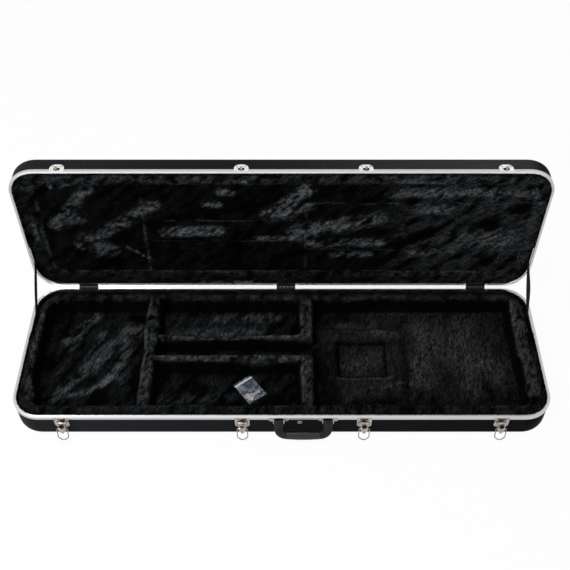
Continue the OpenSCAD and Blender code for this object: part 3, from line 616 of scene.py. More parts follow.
def liner(name, step, top, back, to_frame, material):
    """Closed padded body over the inside of the case: a face, a back and a thin side. Its grid
    is drawn in to where the plush ends."""
    nx, ny = int(2 * HALF_W / step) + 1, int(2 * HALF_D / step) + 1
    gx = np.linspace(-HALF_W, HALF_W, nx)
    gy = np.linspace(-HALF_D, HALF_D, ny)
    x, y = (g.ravel() for g in np.meshgrid(gx, gy, indexing="ij"))
    depth = offset(x, y) - plush_edge(x, y)
    cells = grid_cells(nx, ny)
    cells = cells[(depth[cells] > 0).sum(1) >= 2]
    for _ in range(EDGE_ROUNDS):
        push = np.maximum(plush_edge(x, y) - offset(x, y), 0)
        slope_x = (offset(x + SLOPE_STEP, y) - offset(x - SLOPE_STEP, y)) / (2 * SLOPE_STEP)
        slope_y = (offset(x, y + SLOPE_STEP) - offset(x, y - SLOPE_STEP)) / (2 * SLOPE_STEP)
        x, y = x + slope_x * push, y + slope_y * push
    used = np.unique(cells)
    renumber = np.full(nx * ny, -1)
    renumber[used] = np.arange(len(used))
    x, y = x[used], y[used]
    front, rear = (to_frame(x, y, height(x, y)) for height in (top, back))
    return double_sheet(name, front, rear, renumber[cells], None, material)


def puff(piece, held, cap):
    """Cloth under pressure from inside. held gives 1 where a point stays in place, and cap is the
    furthest that a point moves, in millimetres."""
    rest = coords(piece.data)
    pins = piece.vertex_groups.new(name="pins")
    for i, weight in enumerate(held(rest / MM)):
        if weight > 0:
            pins.add([i], float(weight), "REPLACE")
    cloth = piece.modifiers.new("cloth", "CLOTH")
    cloth.settings.quality = 3
    cloth.settings.mass = 0.4
    cloth.settings.tension_stiffness = 12
    cloth.settings.compression_stiffness = 12
    cloth.settings.bending_stiffness = 1.2
    cloth.settings.use_pressure = True
    cloth.settings.uniform_pressure_force = 4
    cloth.settings.effector_weights.gravity = 0
    cloth.settings.vertex_group_mass = "pins"
    cloth.collision_settings.use_collision = False
    scene = bpy.context.scene
    for tick in range(1, PUFF_FRAMES + 1):
        scene.frame_set(tick)
    view = bpy.context.evaluated_depsgraph_get()
    moved = coords(piece.evaluated_get(view).data) - rest
    piece.modifiers.clear()
    piece.vertex_groups.clear()
    scene.frame_set(1)
    far = np.linalg.norm(moved, axis=1, keepdims=True)
    moved *= np.minimum(1, cap * MM / np.maximum(far, 1e-9))
    move(piece.data, rest + moved)


def stroke(x, y, x0, y0, x1, y1, width):
    """Soft mark from 1 on the line to 0 at its width."""
    dx, dy = x1 - x0, y1 - y0
    t = np.clip(((x - x0) * dx + (y - y0) * dy) / (dx * dx + dy * dy + 1e-9), 0, 1)
    away = np.hypot(x - x0 - t * dx, y - y0 - t * dy)
    return ease(1 - away / width)


def sheen_strokes(x, y, marks):
    """Strokes of painted sheen in the pile, each from x0, y0 to x1, y1 with its half width and its
    light.
    """
    most = np.zeros_like(x)
    for x0, y0, x1, y1, width, light in marks:
        most = np.maximum(most, light * stroke(x, y, x0, y0, x1, y1, width))
    return most


def broken(layer, x, y, turn, long, short):
    """Gate from 0 to 1 in streaks that run along the turn, in degrees."""
    along, across = turned(x, y, -math.radians(turn))
    streak = waves(layer, along / long, across / short, 1.0)
    speck = waves((layer + 3) % LAYERS, along / (0.4 * long), across / (0.6 * short), 1.0)
    return ease(0.55 + 0.75 * streak + 0.35 * speck)


def mark(piece, brushed, warm):
    """Painted light and warmth of the pile, from 0 to about 1, on the piece's points."""
    for name, values in (("brushed", brushed), ("warm", warm)):
        layer = piece.data.attributes.new(name, "FLOAT", "POINT")
        layer.data.foreach_set("value", np.clip(values, 0, 1.6).astype(np.float32))


def around(t, inset):
    """Points round the case at shares t of the way, inset from its outline, and the ways out."""
    r = CORNER_R - inset
    w, d = HALF_W - CORNER_R, HALF_D - CORNER_R
    runs = [2 * d, math.pi / 2 * r, 2 * w, math.pi / 2 * r]
    s = t * 2 * sum(runs)
    x, y, nx, ny = np.zeros((4, len(t)))
    for k in range(8):
        long, quarter = runs[k % 4], math.pi / 2 * (k // 2)
        here = (s >= 0) & (s < long)
        step = np.where(here, s, 0)
        c, q = math.cos(quarter), math.sin(quarter)
        if k % 2 == 0:
            deep = w if k % 4 == 0 else d
            ahead, out = step - long / 2, deep + r
            px, py = c * out - q * ahead, q * out + c * ahead
            wx, wy = c + 0 * step, q + 0 * step
        else:
            turn = quarter + step / r
            wx, wy = np.cos(turn), np.sin(turn)
            px = np.sign(c - q) * w + r * wx
            py = np.sign(c + q) * d + r * wy
        x, y = np.where(here, px, x), np.where(here, py, y)
        nx, ny = np.where(here, wx, nx), np.where(here, wy, ny)
        s = s - long
    return x, y, nx, ny


def by_leaf(x, y):
    """Whether a point of the closed case lies at the rear rim beside a hinge."""
    near = [(x > low[0] - LEAF_ROOM) & (x < high[0] + LEAF_ROOM) for low, high in LEAVES]
    return np.any(near, axis=0) & (y > HALF_D - LEAF_REACH)


def fringe(draw, root_h, tip_h):
    """Roots and tips, closed, of the pile that lies over the valance's inner edge: x, y and the
    height over the rim. The tips' heights lie between the two of tip_h."""
    t = draw.random(FRINGE)
    x, y, nx, ny = around(t, FRINGE_IN)
    room = beside_strap(x, y)
    back = (STRAP_ROOM - EDGE_IN) * room
    x, y = x - nx * back, y - ny * back
    far = draw.uniform(*FRINGE_REACH, FRINGE) * (1 - 0.6 * room)
    far = np.where(by_leaf(x, y), FRINGE_BY_LEAF, far)
    slip = draw.normal(0, FRINGE_SLIP, FRINGE)
    root = np.stack([x, y, np.full(FRINGE, root_h)], 1)
    lift = draw.uniform(*tip_h, FRINGE)
    return root, np.stack([x + nx * far - ny * slip, y + ny * far + nx * slip, lift], 1)


def tufts(name, points, light, warm, plan, body, material):
    """Piece of closed three-sided tufts, with three points at each foot and one at its tip. plan
    gives a point's place on the flat cloth, which is its place in the tufts' map too."""
    first = 4 * np.arange(len(points))[:, None, None]
    sides = np.array([(2, 1, 0), (0, 1, 3), (1, 2, 3), (2, 0, 3)])
    flat = points.reshape(-1, 3)
    piece = make(name, flat, (first + sides).reshape(-1, 3).tolist(), body, material)
    # Feet take FOOT_LIGHT of the tip's light: painted shade at the roots.
    mark(piece, np.stack([FOOT_LIGHT * light] * 3 + [light], 1).ravel(), np.repeat(warm, 4))
    place = piece.data.uv_layers.new(name="OFBake")
    ends = np.zeros(len(piece.data.loops), np.int32)
    piece.data.loops.foreach_get("vertex_index", ends)
    place.data.foreach_set("uv", plan(flat)[ends].astype(np.float32).ravel())
    return piece


def scatter(mesh, shown, draw):
    """Points spread evenly over the shown side of a mesh, in millimetres, and its normals there."""
    mesh.calc_loop_triangles()
    corners = np.zeros(len(mesh.loop_triangles) * 3, np.int32)
    mesh.loop_triangles.foreach_get("vertices", corners)
    a, b, c = np.moveaxis((coords(mesh) / MM)[corners.reshape(-1, 3)], 1, 0)
    cross = np.cross(b - a, c - a)
    size = np.linalg.norm(cross, axis=1)
    normal = cross / np.maximum(size, 1e-9)[:, None]
    weight = size * shown((a + b + c) / 3, normal)
    pick = draw.choice(len(size), TUFTS, p=weight / weight.sum())
    u, v = draw.random((2, TUFTS, 1))
    over = u + v > 1
    u, v = np.where(over, 1 - u, u), np.where(over, 1 - v, v)
    return a[pick] + u * (b - a)[pick] + v * (c - a)[pick], normal[pick]


def pile(piece, body, shown, lie, light, plan, edge, root_h, tip_h, proud, press, spread, girth):
    """Tufts of pile on the shown side of a plush piece. Each lies over along lie, in the frame,
    with dark roots and tips as light as the plush is there. edge places x, y and a height over the
    rim in the frame. root_h and tip_h are the fringe's heights over the rim. Tufts that stand
    higher than proud go into a piece of their own, the fringe. press is not used.
    spread is how unlike the tufts' tips are, and girth their least and most half width."""
    draw = np.random.default_rng(PILE_SEED + len(body))
    root, up = scatter(piece.data, shown, draw)
    way = lie(root, up) + TUFT_STRAY * draw.standard_normal((TUFTS, 3))
    way -= up * (way * up).sum(1, keepdims=True)
    way /= np.maximum(np.linalg.norm(way, axis=1, keepdims=True), 1e-6)
    side = np.cross(up, way)
    lean = np.radians(draw.uniform(*TUFT_LEAN, (TUFTS, 1)))
    reach = draw.uniform(*TUFT_REACH, (TUFTS, 1))
    thick = draw.uniform(*girth, (TUFTS, 1))
    tip = root + reach * (np.cos(lean) * up + np.sin(lean) * way)
    foot = root - TUFT_ROOT * up
    low, high = (edge(q) for q in fringe(draw, root_h, tip_h))
    root, foot, tip = (np.concatenate(pair) for pair in ((root, low), (foot, low), (tip, high)))
    wide = (high - low) / np.linalg.norm(high - low, axis=1, keepdims=True)
    rim = edge(np.zeros((1, 3)))
    above = edge(np.array([[0, 0, 1.0]])) - rim
    way = np.concatenate([way, np.repeat(above, FRINGE, 0)])
    side = np.concatenate([side, np.cross(wide, above)])
    thick = np.concatenate([thick, np.full((FRINGE, 1), FRINGE_HALF)])
    feet = [foot + thick * (math.cos(t) * way + math.sin(t) * side) for t in TUFT_CORNERS]
    points = np.stack(feet + [tip], 1)
    brushed, warm = light(root)
    ragged = TIP_LIGHT * draw.uniform(0.1, 1.42, len(root)) ** spread * (brushed + LEAST_LIGHT)
    ragged[TUFTS:] *= FRINGE_LIGHT
    high = ((points - rim) @ above[0]).max(1) > proud
    for part, these in (("pile", ~high), ("fringe", high)):
        made = tufts(
            f"{body}_{part}", points[these], ragged[these], warm[these], plan, body,
            piece.data.materials[0],
        )
    anchor = (rim + press * above)[0] * MM
    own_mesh(made)


# Padding of the base. A rectangle is x0, x1, y0, y1 and its corners' radius

BAG_PLACE = np.array([-76.0, -76.0])
BAG_TURN = math.radians(37)
BAG_W, BAG_L = 50.0, 68.0
HEAD, RAIL_REAR, RAIL_FRONT = box("head_divider"), box("neck_rail_rear"), box("neck_rail_front")
SIDE_REAR, SIDE_FRONT = box("body_divider_rear"), box("body_divider_front")
HEEL, END_PAD, BORDER = box("heel_platform"), box("body_end_pad"), box("base_border")
BORDER_IN, FRONT_ROLL = 31.0, 11.0
RECESS = (131.0, 256.0, -56.0, 57.0, 9.0)
RECESS_Z = FLOOR_Z + 6.0
HEAD_FLOOR = (-565.0, -345.0, -120.0, 125.0, 70.0)
REAR_POCKET = (-300.0, -30.0, 58.0, 150.0, 20.0)
BASE_GRID, BASE_VOXEL, BASE_SWELL = 3.0, 5.0, 4.0
BASE_BACK_Z = 9.0
SLANT, BODY_SLANT, BODY_X = 52.0, 88.0, 60.0
# Strokes of painted sheen in the base's pile, and painted highlights along two creases and the
# recess's near lip: x0, y0, x1, y1, half width and light.
BASE_SHEEN_STROKES = (
    (-531, 64, -470, 143, 26, 0.62), (-446, 79, -476, -24, 22, 0.5),
    (-482, 105, -523, 42, 20, 0.5), (-426, 57, -452, -24, 20, 0.5),
    (-531, -99, -511, -65, 30, 0.58), (-390, -39, -387, 64, 24, 0.5),
    (-386, 101, -356, 101, 34, 0.65), (-505, -99, -427, -65, 9, 0.65),
    (-427, -65, -400, -33, 14, 0.8), (-400, -33, -385, 48, 9, 0.75),
    (-162, 137, -18, 137, 26, 0.5), (378, 73, 487, -18, 85, 0.38),
    (447, 105, 448, -77, 60, 0.34), (158, 105, 294, 73, 34, 0.36),
    (347, 105, 332, -48, 48, 0.38), (150, -100, 300, -95, 28, 0.12),
    (160, -20, 235, 10, 45, 0.24), (-280, 85, -60, 95, 26, 0.5),
    (-290, -110, -120, -100, 22, 0.22), (246, -86, 319, -58, 7, 0.5),
    (150, -118, 215, -84, 8, 0.3), (135, -63, 258, -59, 7, 0.5), (-285, 70, -60, 75, 24, 0.5),
)


def wall_top(depth, crest, foot=-4.0, crown=9.0):
    """Height of a padded wall over the floor, by the depth inside its outline."""
    t = np.clip((depth - foot) / (crown - foot), 0, 1)
    return FLOOR_Z + (crest - FLOOR_Z) * ease(t ** 0.85)


def head_folds(x, y):
    """Soft folds of the head compartment's floor, from -1 to 1."""
    ridge = np.sin((0.79 * x - 0.61 * y) / 7.5 + 2.2 * waves(6, x, y, 70))
    return ridge * ease(inside(x, y, *HEAD_FLOOR) / 50) * ease(0.75 + waves(2, x, y, 60))


def base_top(x, y):
    """Height of the base's padding."""
    wander = 3.2 * waves(0, x, y, 62) + 1.5 * waves(1, x, y, 24)
    thick = BORDER_IN + FRONT_ROLL * ease((-y - 60) / 60)
    border = wall_top(thick - offset(x, y) + wander, BORDER[1][2] + 0.8 * waves(2, x, y, 30))
    head = inside(x, y, HEAD[0][0] - 1, HEAD[1][0] + 1, -200, 200, 6)
    head = wall_top(head + 1.4 * wander, HEAD[1][2] + 1.2 * waves(3, x, y, 35))
    rails = np.maximum(
        inside(x, y, HEAD[1][0] - 20, SIDE_FRONT[1][0], RAIL_FRONT[0][1], RAIL_FRONT[1][1], 7),
        inside(x, y, HEAD[1][0] - 20, SIDE_REAR[1][0], RAIL_REAR[0][1], RAIL_REAR[1][1], 6),
    )
    rails = wall_top(rails + 0.5 * wander, RAIL_FRONT[1][2] + waves(3, x, y, 28), -5, 7)
    sides = np.maximum(
        inside(x, y, SIDE_FRONT[0][0], SIDE_FRONT[1][0], -220, SIDE_FRONT[1][1], 16),
        inside(x, y, SIDE_REAR[0][0], SIDE_REAR[1][0], SIDE_REAR[0][1], 220, 16),
    )
    sides = wall_top(sides + 0.8 * wander, SIDE_FRONT[1][2] + waves(2, x, y, 33))
    end = inside(x, y, END_PAD[0][0], HALF_W, -HALF_D, HALF_D, 26)
    end = wall_top(end + wander, END_PAD[1][2] + waves(4, x, y, 30))
    heel = inside(x, y, HEEL[0][0] - 6, HEEL[1][0], HEEL[0][1], HEEL[1][1], 18)
    heel = FLOOR_Z + (HEEL[1][2] - FLOOR_Z) * ease((heel + 2 * wander + 14) / 34)
    pit = ease((inside(x, y, *RECESS) + 0.5 * wander + 2) / 8)
    heel = heel * (1 - pit) + np.minimum(heel, RECESS_Z) * pit
    floor = FLOOR_Z + 0.9 + 0.9 * waves(5, x, y, 45) + 2.6 * head_folds(x, y)
    top = blunt_max(floor, heel, 8)
    for part in (rails, sides, head, border, end):
        top = blunt_max(top, part, 5)
    meet = by_rim(x, y)
    return np.minimum(top, RIM - 3.5) * (1 - meet) + (RIM - 0.6) * meet


def base_back(x, y):
    """Height of the padding's back, which rises towards the shell's round edge."""
    d = np.clip(offset(x, y), 0, 20)
    return 3.4 + 7.5 * ((20 - d) / 11) ** 2


plush_base = liner(
    "base_plush", BASE_GRID, base_top, base_back,
    lambda x, y, z: np.stack([x, y, z], 1), BASE_PLUSH,
)
remesh = plush_base.modifiers.new("remesh", "REMESH")
remesh.mode = "VOXEL"
remesh.voxel_size = BASE_VOXEL * MM
evaluated(plush_base)


def under_bag(x, y, room):
    """Whether a point lies under the key bag, or within that room of it."""
    across, along = turned(x - BAG_PLACE[0], y - BAG_PLACE[1], -BAG_TURN)
    return (np.abs(across) < BAG_W / 2 + room) & (np.abs(along) < BAG_L / 2 + room)


def base_held(p):
    """The back and the outer side of the base's plush stay in place, and what the bag lies on."""
    x, y, z = p.T
    held = (z < BASE_BACK_Z) | (offset(x, y) < HELD_RIM) | under_bag(x, y, 4)
    return held.astype(float)


puff(plush_base, base_held, BASE_SWELL)


def hollow(x, y, reach=8.0):
    """How far the padding lies under its surroundings, in millimetres: less than 0 on crests."""
    steps = ((reach, 0), (-reach, 0), (0, reach), (0, -reach))
    return sum(base_top(x + a, y + b) for a, b in steps) / 4 - base_top(x, y)


def on_heel(x, y, z):
    """1 on the low heel platform, 0 elsewhere."""
    shape = inside(x, y, HEEL[0][0], HEEL[1][0], HEEL[0][1], HEEL[1][1], 18)
    return ease((shape + 14) / 12) * (1 - ease((z - HEEL[1][2] - 3) / 6))


def base_light(p):
    """Painted light and warmth of the base's pile at points in millimetres."""
    x, y, z = p.T
    # Painted shade in hollows, painted highlights along crests and wall tops, and painted sheen
    # along the strokes, the head floor's folds and evenly over the body floor, lighter in the rear
    # pocket. Warmth is a warmer painted light over the body end.
    sunk = hollow(x, y)
    shade = 1 - 0.85 * ease(sunk / 5)
    rear, front = ease((y - 140) / 25), ease((-y - 120) / 25)
    ridge = ease(-sunk / 5) * (1 - ease((z - 69) / 3)) * ease((z - 44) / 8)
    crest = ease((z - 56) / 9)
    outer = ease((24 + FRONT_ROLL * front - offset(x, y)) / 8)
    top = crest * (1 - 0.88 * rear - 0.35 * front) * (1 - 0.65 * outer)
    wall = ease((z - FLOOR_Z - 8) / 10) * (1 - crest) * (1 - on_heel(x, y, z))
    body = ease((x - 70) / 60)
    floor = (1 - wall) * (1 - crest)
    even = 0.135 * body * floor * ease(0.8 + 0.7 * waves(4, x, y, 70))
    even = even * (1 - 0.6 * ease(-y / 40 - 1.6))
    even = even + 0.07 * floor * ease(inside(x, y, *REAR_POCKET) / 15)
    streaks = np.where(
        x > BODY_X, broken(2, x, y, BODY_SLANT, 26, 6), broken(2, x, y, SLANT, 26, 8)
    )
    brushed = (
        sheen_strokes(x, y, BASE_SHEEN_STROKES) * (0.35 * body + (0.9 - 0.25 * body) * streaks) * (1 - wall)
        + even
        + 0.4 * ease(head_folds(x, y) * 1.4) * broken(1, x, y, SLANT, 30, 9)
        + 0.38 * top * broken(3, x, y, 70, 16, 7)
        + 0.1 * wall * broken(4, x, y, 85, 26, 8)
        + 0.08 * broken(5, x, y, 65, 40, 13)
    ) * shade + 0.45 * ridge * (1 - 0.5 * rear - 0.45 * front) * broken(6, x, y, 10, 18, 10)
    return np.clip(brushed, 0, 1.6), 0.75 * body * (1 - 0.6 * crest)


mark(plush_base, *base_light(coords(plush_base.data) / MM))
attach(plush_base, "base")
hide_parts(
    "base_floor_pad", "base_border", "body_end_pad", "head_divider",
    "neck_rail_rear", "neck_rail_front", "body_divider_rear", "body_divider_front",
    "heel_platform",
)


def base_shown(p, up):
    """Where the base's pile grows: not under the bag, nor where a hinge closes on it."""
    x, y, z = p.T
    return (up[:, 2] > -0.2) & (z > FLOOR_Z - 6) & ~under_bag(x, y, 3) & ~by_leaf(x, y)


def base_lie(p, up):
    """The base's pile lies slantwise by the head, along the depth by the body, and hangs on
    its walls."""
    x, y = p[:, 0], p[:, 1]
    turn = np.radians(np.where(x > BODY_X, BODY_SLANT, SLANT)) + 0.4 * waves(0, x, y, 80)
    hang = -1.2 * (1 - np.clip(up[:, 2], 0, 1))
    return np.stack([np.cos(turn), np.sin(turn), hang], 1)


pile(
    plush_base, "base", base_shown, base_lie, base_light,
    plan=lambda p: flat_place(p[:, 0], p[:, 1]), edge=lambda p: p + np.array([0, 0, RIM]),
    root_h=0.9, tip_h=(1.7, 2.3), proud=1.2, press=1.55, spread=2.0, girth=(0.4, 0.75),
)


# Padding of the lid, drawn closed: x, y and the depth under the lid's rim

LID_GRID, LID_SWELL, LID_SHOWN = 3.6, 3.0, 30.0
LID_BORDER_DEPTH, LID_PANEL_DEPTH = 6.0, 13.0
LID_CREASE = (-563.0, 583.0, -147.0, 150.0, 30.0)
HEAD_SEAM, BODY_SEAM = -323.0, 60.0
STRIP_SEAMS, PANEL_SEAMS = (-26.0, 42.0), (-82.0, 73.0)
SEAM_END, PANEL_END = 150.0, 575.0
GROOVE_DEPTH, GROOVE_W = 3.4, 4.0
LID_SLANT = 42.0
# Strokes of painted sheen in the lid's pile: x0, y0, x1, y1, half width and light.
LID_SHEEN_STROKES = (
    (-441, -132, -538, -13, 24, 0.7), (-501, -36, -477, -36, 26, 0.6),
    (-297, -82, -483, 52, 25, 0.72), (-453, 77, -429, 77, 26, 0.6),
    (-475, 30, -410, 70, 30, 0.5), (-373, 59, -324, 102, 8, 0.7),
    (-280, 8, -150, 4, 24, 1.1), (-140, -122, -117, -122, 16, 0.9),
    (-100, -156, -82, -156, 12, 0.7), (-175, -82, -147, -82, 15, 1.0),
    (-32, -46, 60, -129, 28, 1.2), (8, -56, 56, -82, 30, 1.1),
    (-57, 31, 41, 31, 14, 1.0), (41, 11, 149, -16, 40, 1.1),
    (149, -16, 225, -39, 34, 1.0), (70, 45, 234, 45, 24, 0.8),
    (125, 88, 213, 88, 18, 0.6), (-197, 184, -48, 184, 12, 0.6),
    (251, -119, 554, -119, 24, 0.75), (321, -66, 386, -66, 26, 0.7),
    (416, 31, 543, 31, 56, 0.6), (320, 81, 417, 73, 24, 0.6),
    (-523, -138, -465, -150, 11, 0.8), (-584, -62, -582, 38, 9, 0.5),
    (561, -138, 593, -94, 11, 0.7), (221, -156, 355, -156, 11, 0.6),
)


def on_lid(x, y, depth):
    """Point of the closed lid's padding in the frame, where the lid stands open."""
    return np.stack([x, LID_FACE_Y + depth, HINGE_SUM - y], 1)


def line_groove(across, along, low, high, width, soft=10.0):
    """Groove across a line, that fades out past its two ends."""
    ends = ease((along - low + soft) / soft) * ease((high + soft - along) / soft)
    return bell(across, width) * ends


def lid_grooves(x, y, width):
    """1 along the seams between the lid's panels and along its crease, 0 elsewhere."""
    sway = 1.6 * waves(0, x, y, 40)
    crease = inside(x, y, *LID_CREASE) + sway
    marks = [bell(crease, width)]
    for at in (HEAD_SEAM, BODY_SEAM):
        marks.append(line_groove(x - at + sway, y, -SEAM_END, SEAM_END, width))
    for at in STRIP_SEAMS:
        marks.append(line_groove(y - at + sway, x, HEAD_SEAM, BODY_SEAM, width))
    for at in PANEL_SEAMS:
        marks.append(0.7 * line_groove(y - at + 2 * sway, x, BODY_SEAM, PANEL_END, width))
    return np.max(marks, axis=0)


def lid_top(x, y):
    """Depth of the lid's padding under its rim."""
    sway = 2.4 * waves(1, x, y, 55) + 1.2 * waves(2, x, y, 22)
    inner = inside(x, y, *LID_CREASE) + sway
    depth = LID_BORDER_DEPTH + (LID_PANEL_DEPTH - LID_BORDER_DEPTH) * ease((inner + 10) / 16)
    depth = depth + 0.9 * waves(3, x, y, 38) + 0.6 * waves(4, x, y, 17)
    meet = by_rim(x, y)
    return np.maximum(depth, 4.0) * (1 - meet) + 2.3 * meet


def lid_back(x, y):
    """Depth of the padding's back."""
    d = np.clip(offset(x, y), 0, 21)
    return 49.0 - 8.5 * ((21 - d) / 12) ** 2


def lid_held(p):
    """The back and the outer side of the lid's plush stay in place."""
    outer = offset(p[:, 0], HINGE_SUM - p[:, 2]) < HELD_RIM
    return ((p[:, 1] - LID_FACE_Y > LID_SHOWN) | outer).astype(float)


def sink_grooves(mesh):
    """Draw the shown side of the lid's plush in along its seams."""
    p = coords(mesh)
    x, y, depth = p[:, 0] / MM, HINGE_SUM - p[:, 2] / MM, p[:, 1] / MM - LID_FACE_Y
    p[:, 1] += GROOVE_DEPTH * lid_grooves(x, y, GROOVE_W) * (depth < LID_SHOWN) * MM
    move(mesh, p)


plush_lid = liner("lid_plush", LID_GRID, lid_top, lid_back, on_lid, LID_PLUSH)
puff(plush_lid, lid_held, LID_SWELL)
sink_grooves(plush_lid.data)


def lid_light(p):
    """Painted light of the lid's pile at points in millimetres: sheen along its strokes, painted
    highlights beside its seams and crease, more sheen towards the body end and on its border, most
    at its top edge. Its warmth is nil.
    """
    x, y = p[:, 0], HINGE_SUM - p[:, 2]
    neck = ease((x - HEAD_SEAM) / 40) * ease((BODY_SEAM - x) / 40)
    brushed = (
        (1.5 + 0.5 * neck) * sheen_strokes(x, y, LID_SHEEN_STROKES) * broken(2, x, y, -LID_SLANT, 24, 8)
        * (0.3 + broken(6, x, y, -LID_SLANT, 8, 3.5))
        + 0.75 * lid_grooves(x + 3, y + 3, 2.2) * broken(1, x, y, 0, 26, 26)
        + (0.05 + 0.25 * ease((x - 200) / 150)) * broken(5, x, y, -45, 40, 13)
        + 0.34 * ease(1 - inside(x, y, *LID_CREASE) / 6) * broken(4, x, y, -30, 16, 9)
        * (0.25 + 0.75 * ease((-y - 120) / 30))
    )
    return np.clip(brushed, 0, 1.6), np.zeros_like(x)


mark(plush_lid, *lid_light(coords(plush_lid.data) / MM))
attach(plush_lid, "lid")
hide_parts("lid_border", "lid_head_panel", "lid_neck_panels", "lid_body_panel")


def lid_lie(p, up):
    """The lid's pile lies slantwise up towards the body end."""
    turn = math.radians(LID_SLANT) + 0.8 * waves(0, p[:, 0], p[:, 2], 80)
    return np.stack([np.cos(turn), np.zeros_like(turn), np.sin(turn)], 1)


pile(
    plush_lid, "lid", lambda p, up: (up[:, 1] < 0.2) & (p[:, 1] < LID_FACE_Y + LID_SHOWN),
    lid_lie, lid_light,
    plan=lambda p: flat_place(p[:, 0], HINGE_SUM - p[:, 2]),
    edge=lambda p: on_lid(p[:, 0], p[:, 1], -p[:, 2]),
    root_h=0.7, tip_h=(0.6, 1.3), proud=-1.9, press=-1.78, spread=3.2, girth=(0.55, 1.15),
)


# Hard pieces keep their CAD shape, with broken edges and a real finish

HOOK_H = 6.0


def dress(names, material, edge):
    """Give CAD nodes a finish, and edges broken by that width."""
    for name in names:
        node = NODES[name]
        node.data.materials.clear()
        node.data.materials.append(material)
        weld = node.modifiers.new("weld", "WELD")
        weld.merge_threshold = 1e-5
        flat = node.modifiers.new("flat", "DECIMATE")
        flat.decimate_type = "DISSOLVE"
        flat.angle_limit = math.radians(0.5)
        flat.delimit = {"MATERIAL"}
        bevel = node.modifiers.new("edge", "BEVEL")
        bevel.width = edge * MM
        bevel.segments = 2
        bevel.limit_method = "ANGLE"
        bevel.angle_limit = math.radians(35)
        bevel.harden_normals = True
        bevel.use_clamp_overlap = True


def each(stem, count):
    """Names of a numbered set of nodes."""
    return [f"{stem}_{i}" for i in range(1, count + 1)]


dress(["base_shell", "lid_shell"], SHELL, 0.6)
dress(["base_valance", "lid_valance"], SHADED_SATIN_RIM, 0.5)
# Faces towards the mating side take the lit finish and the rest the shaded one: painted light and
# shade on one aluminium.
for name, up in (("base_valance", (0, 0, 1)), ("lid_valance", (0, -1, 0))):
    mesh = NODES[name].data
    mesh.materials.append(LIT_RIM)
    for face in mesh.polygons:
        face.material_index = int(face.normal.dot(Vector(up)) > 0.9)
dress(
    [*each("hinge_leaf_base", 3), *each("hinge_leaf_lid", 3), "hinge_pins",
     "hinge_rivets_base", "hinge_rivets_lid", "strap_anchors_base", "strap_anchors_lid"],
    BLACK_STEEL, 0.25,
)
dress(
    [*each("latch_plate", 4), *each("lever", 4), "lever_pins", "latch_rivets", "catch_rivets",
     "handle_bracket_left", "handle_bracket_right", "handle_pins", "handle_rivets",
     "bumper_stud"],
    NICKEL, 0.3,
)
dress(each("catch", 4), CATCH, 0.3)
# Faces of each catch's hook take the darker wire finish: painted shade on the hook in the catch's
# window.
for name in each("catch", 4):
    mesh, hook_z = NODES[name].data, box(name)[1][2] - HOOK_H
    mesh.materials.append(WIRE)
    for face in mesh.polygons:
        face.material_index = int(face.center.z / MM > hook_z)
dress(["lock_plug"], LOCK, 0.2)


# Pieces that hang from a pivot on the front

PIVOTS = {joint["name"]: np.array(joint["pos_m"]) / MM for joint in frame["joints"]}


def hung(pivot, lean, u, v, w):
    """Point in the frame: u along the case, v down from the pivot and w outwards."""
    down = np.array([0, -math.sin(lean), -math.cos(lean)])
    out = np.array([0, -math.cos(lean), math.sin(lean)])
    return PIVOTS[pivot] + np.array([u, 0, 0]) + v * down + w * out


# Latches: bent wire bails, and a dished key well where there is no lock plug, painted dark as the
# shade in it

LATCH_LEAN = math.radians(14)
BOSS_DROP = 8.8
WIRE_R = 1.2
BAIL_ROUTE = (
    (4.1, 0), (11.8, 0), (11.8, 26), (3.5, 34), (-3.5, 34), (-11.8, 26), (-11.8, 0), (-4.1, 0),
)
BAIL_BENDS = (1.8, 4.5, 4.0, 4.0, 4.5, 1.8)
WELL_PROFILE = (
    (0.4, 1.9), (0.9, 1.8), (1.1, 1.5), (1.15, 1.0), (1.4, 0.8), (2.6, 0.8), (3.6, 1.0),
    (4.2, 1.5), (4.6, 2.4), (5.0, 3.1), (5.5, 3.45), (5.8, 3.5), (5.95, 3.35), (6.0, 3.02),
    (4.8, 3.02), (4.78, 2.0), (4.78, -0.6), (0.4, -0.6),
)


def key_well(number):
    """Cup turned about the boss's axis: radius and height over the lever's middle."""
    rings = [
        np.array([
            hung(f"lever_{number}_pivot", LATCH_LEAN, a, BOSS_DROP + b, height)
            for a, b in ring(radius, radius, 2, 40)
        ])
        for radius, height in WELL_PROFILE
    ]
    piece = loft(f"key_well_{number}", rings, f"lever_{number}", WELL)


def bent(route, bends, steps=7):
    """Points along a route, with an arc of the given radius at each of its inner corners, and
    the way across the wire at each."""
    corners = [np.array(p, float) for p in route]
    points = [corners[0]]
    for before, at, after, radius in zip(corners, corners[1:], corners[2:], bends):
        come, go = (before - at), (after - at)
        come, go = come / np.linalg.norm(come), go / np.linalg.norm(go)
        half = math.acos(float(np.clip(come @ go, -1, 1))) / 2
        middle = at + (come + go) / np.linalg.norm(come + go) * radius / math.sin(half)
        first = at + come * radius / math.tan(half) - middle
        last = at + go * radius / math.tan(half) - middle
        for share in np.linspace(0, 1, steps):
            arm = first * (1 - share) + last * share
            points.append(middle + arm / np.linalg.norm(arm) * radius)
    points.append(corners[-1])
    ways = np.gradient(np.array(points), axis=0)
    ways /= np.linalg.norm(ways, axis=1, keepdims=True)
    return [(p, (-w[1], w[0])) for p, w in zip(points, ways)]


def bail(number):
    """Bent wire that hangs from a lever."""
    rings = [
        np.array([
            hung(f"bail_{number}_pivot", LATCH_LEAN, u + a * across[0], v + a * across[1], b)
            for a, b in ring(WIRE_R, WIRE_R, 2, 16)
        ])
        for (u, v), across in bent(BAIL_ROUTE, BAIL_BENDS)
    ]
    piece = loft(f"wire_bail_{number}", rings, f"bail_{number}", WIRE)
    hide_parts(f"bail_{number}")


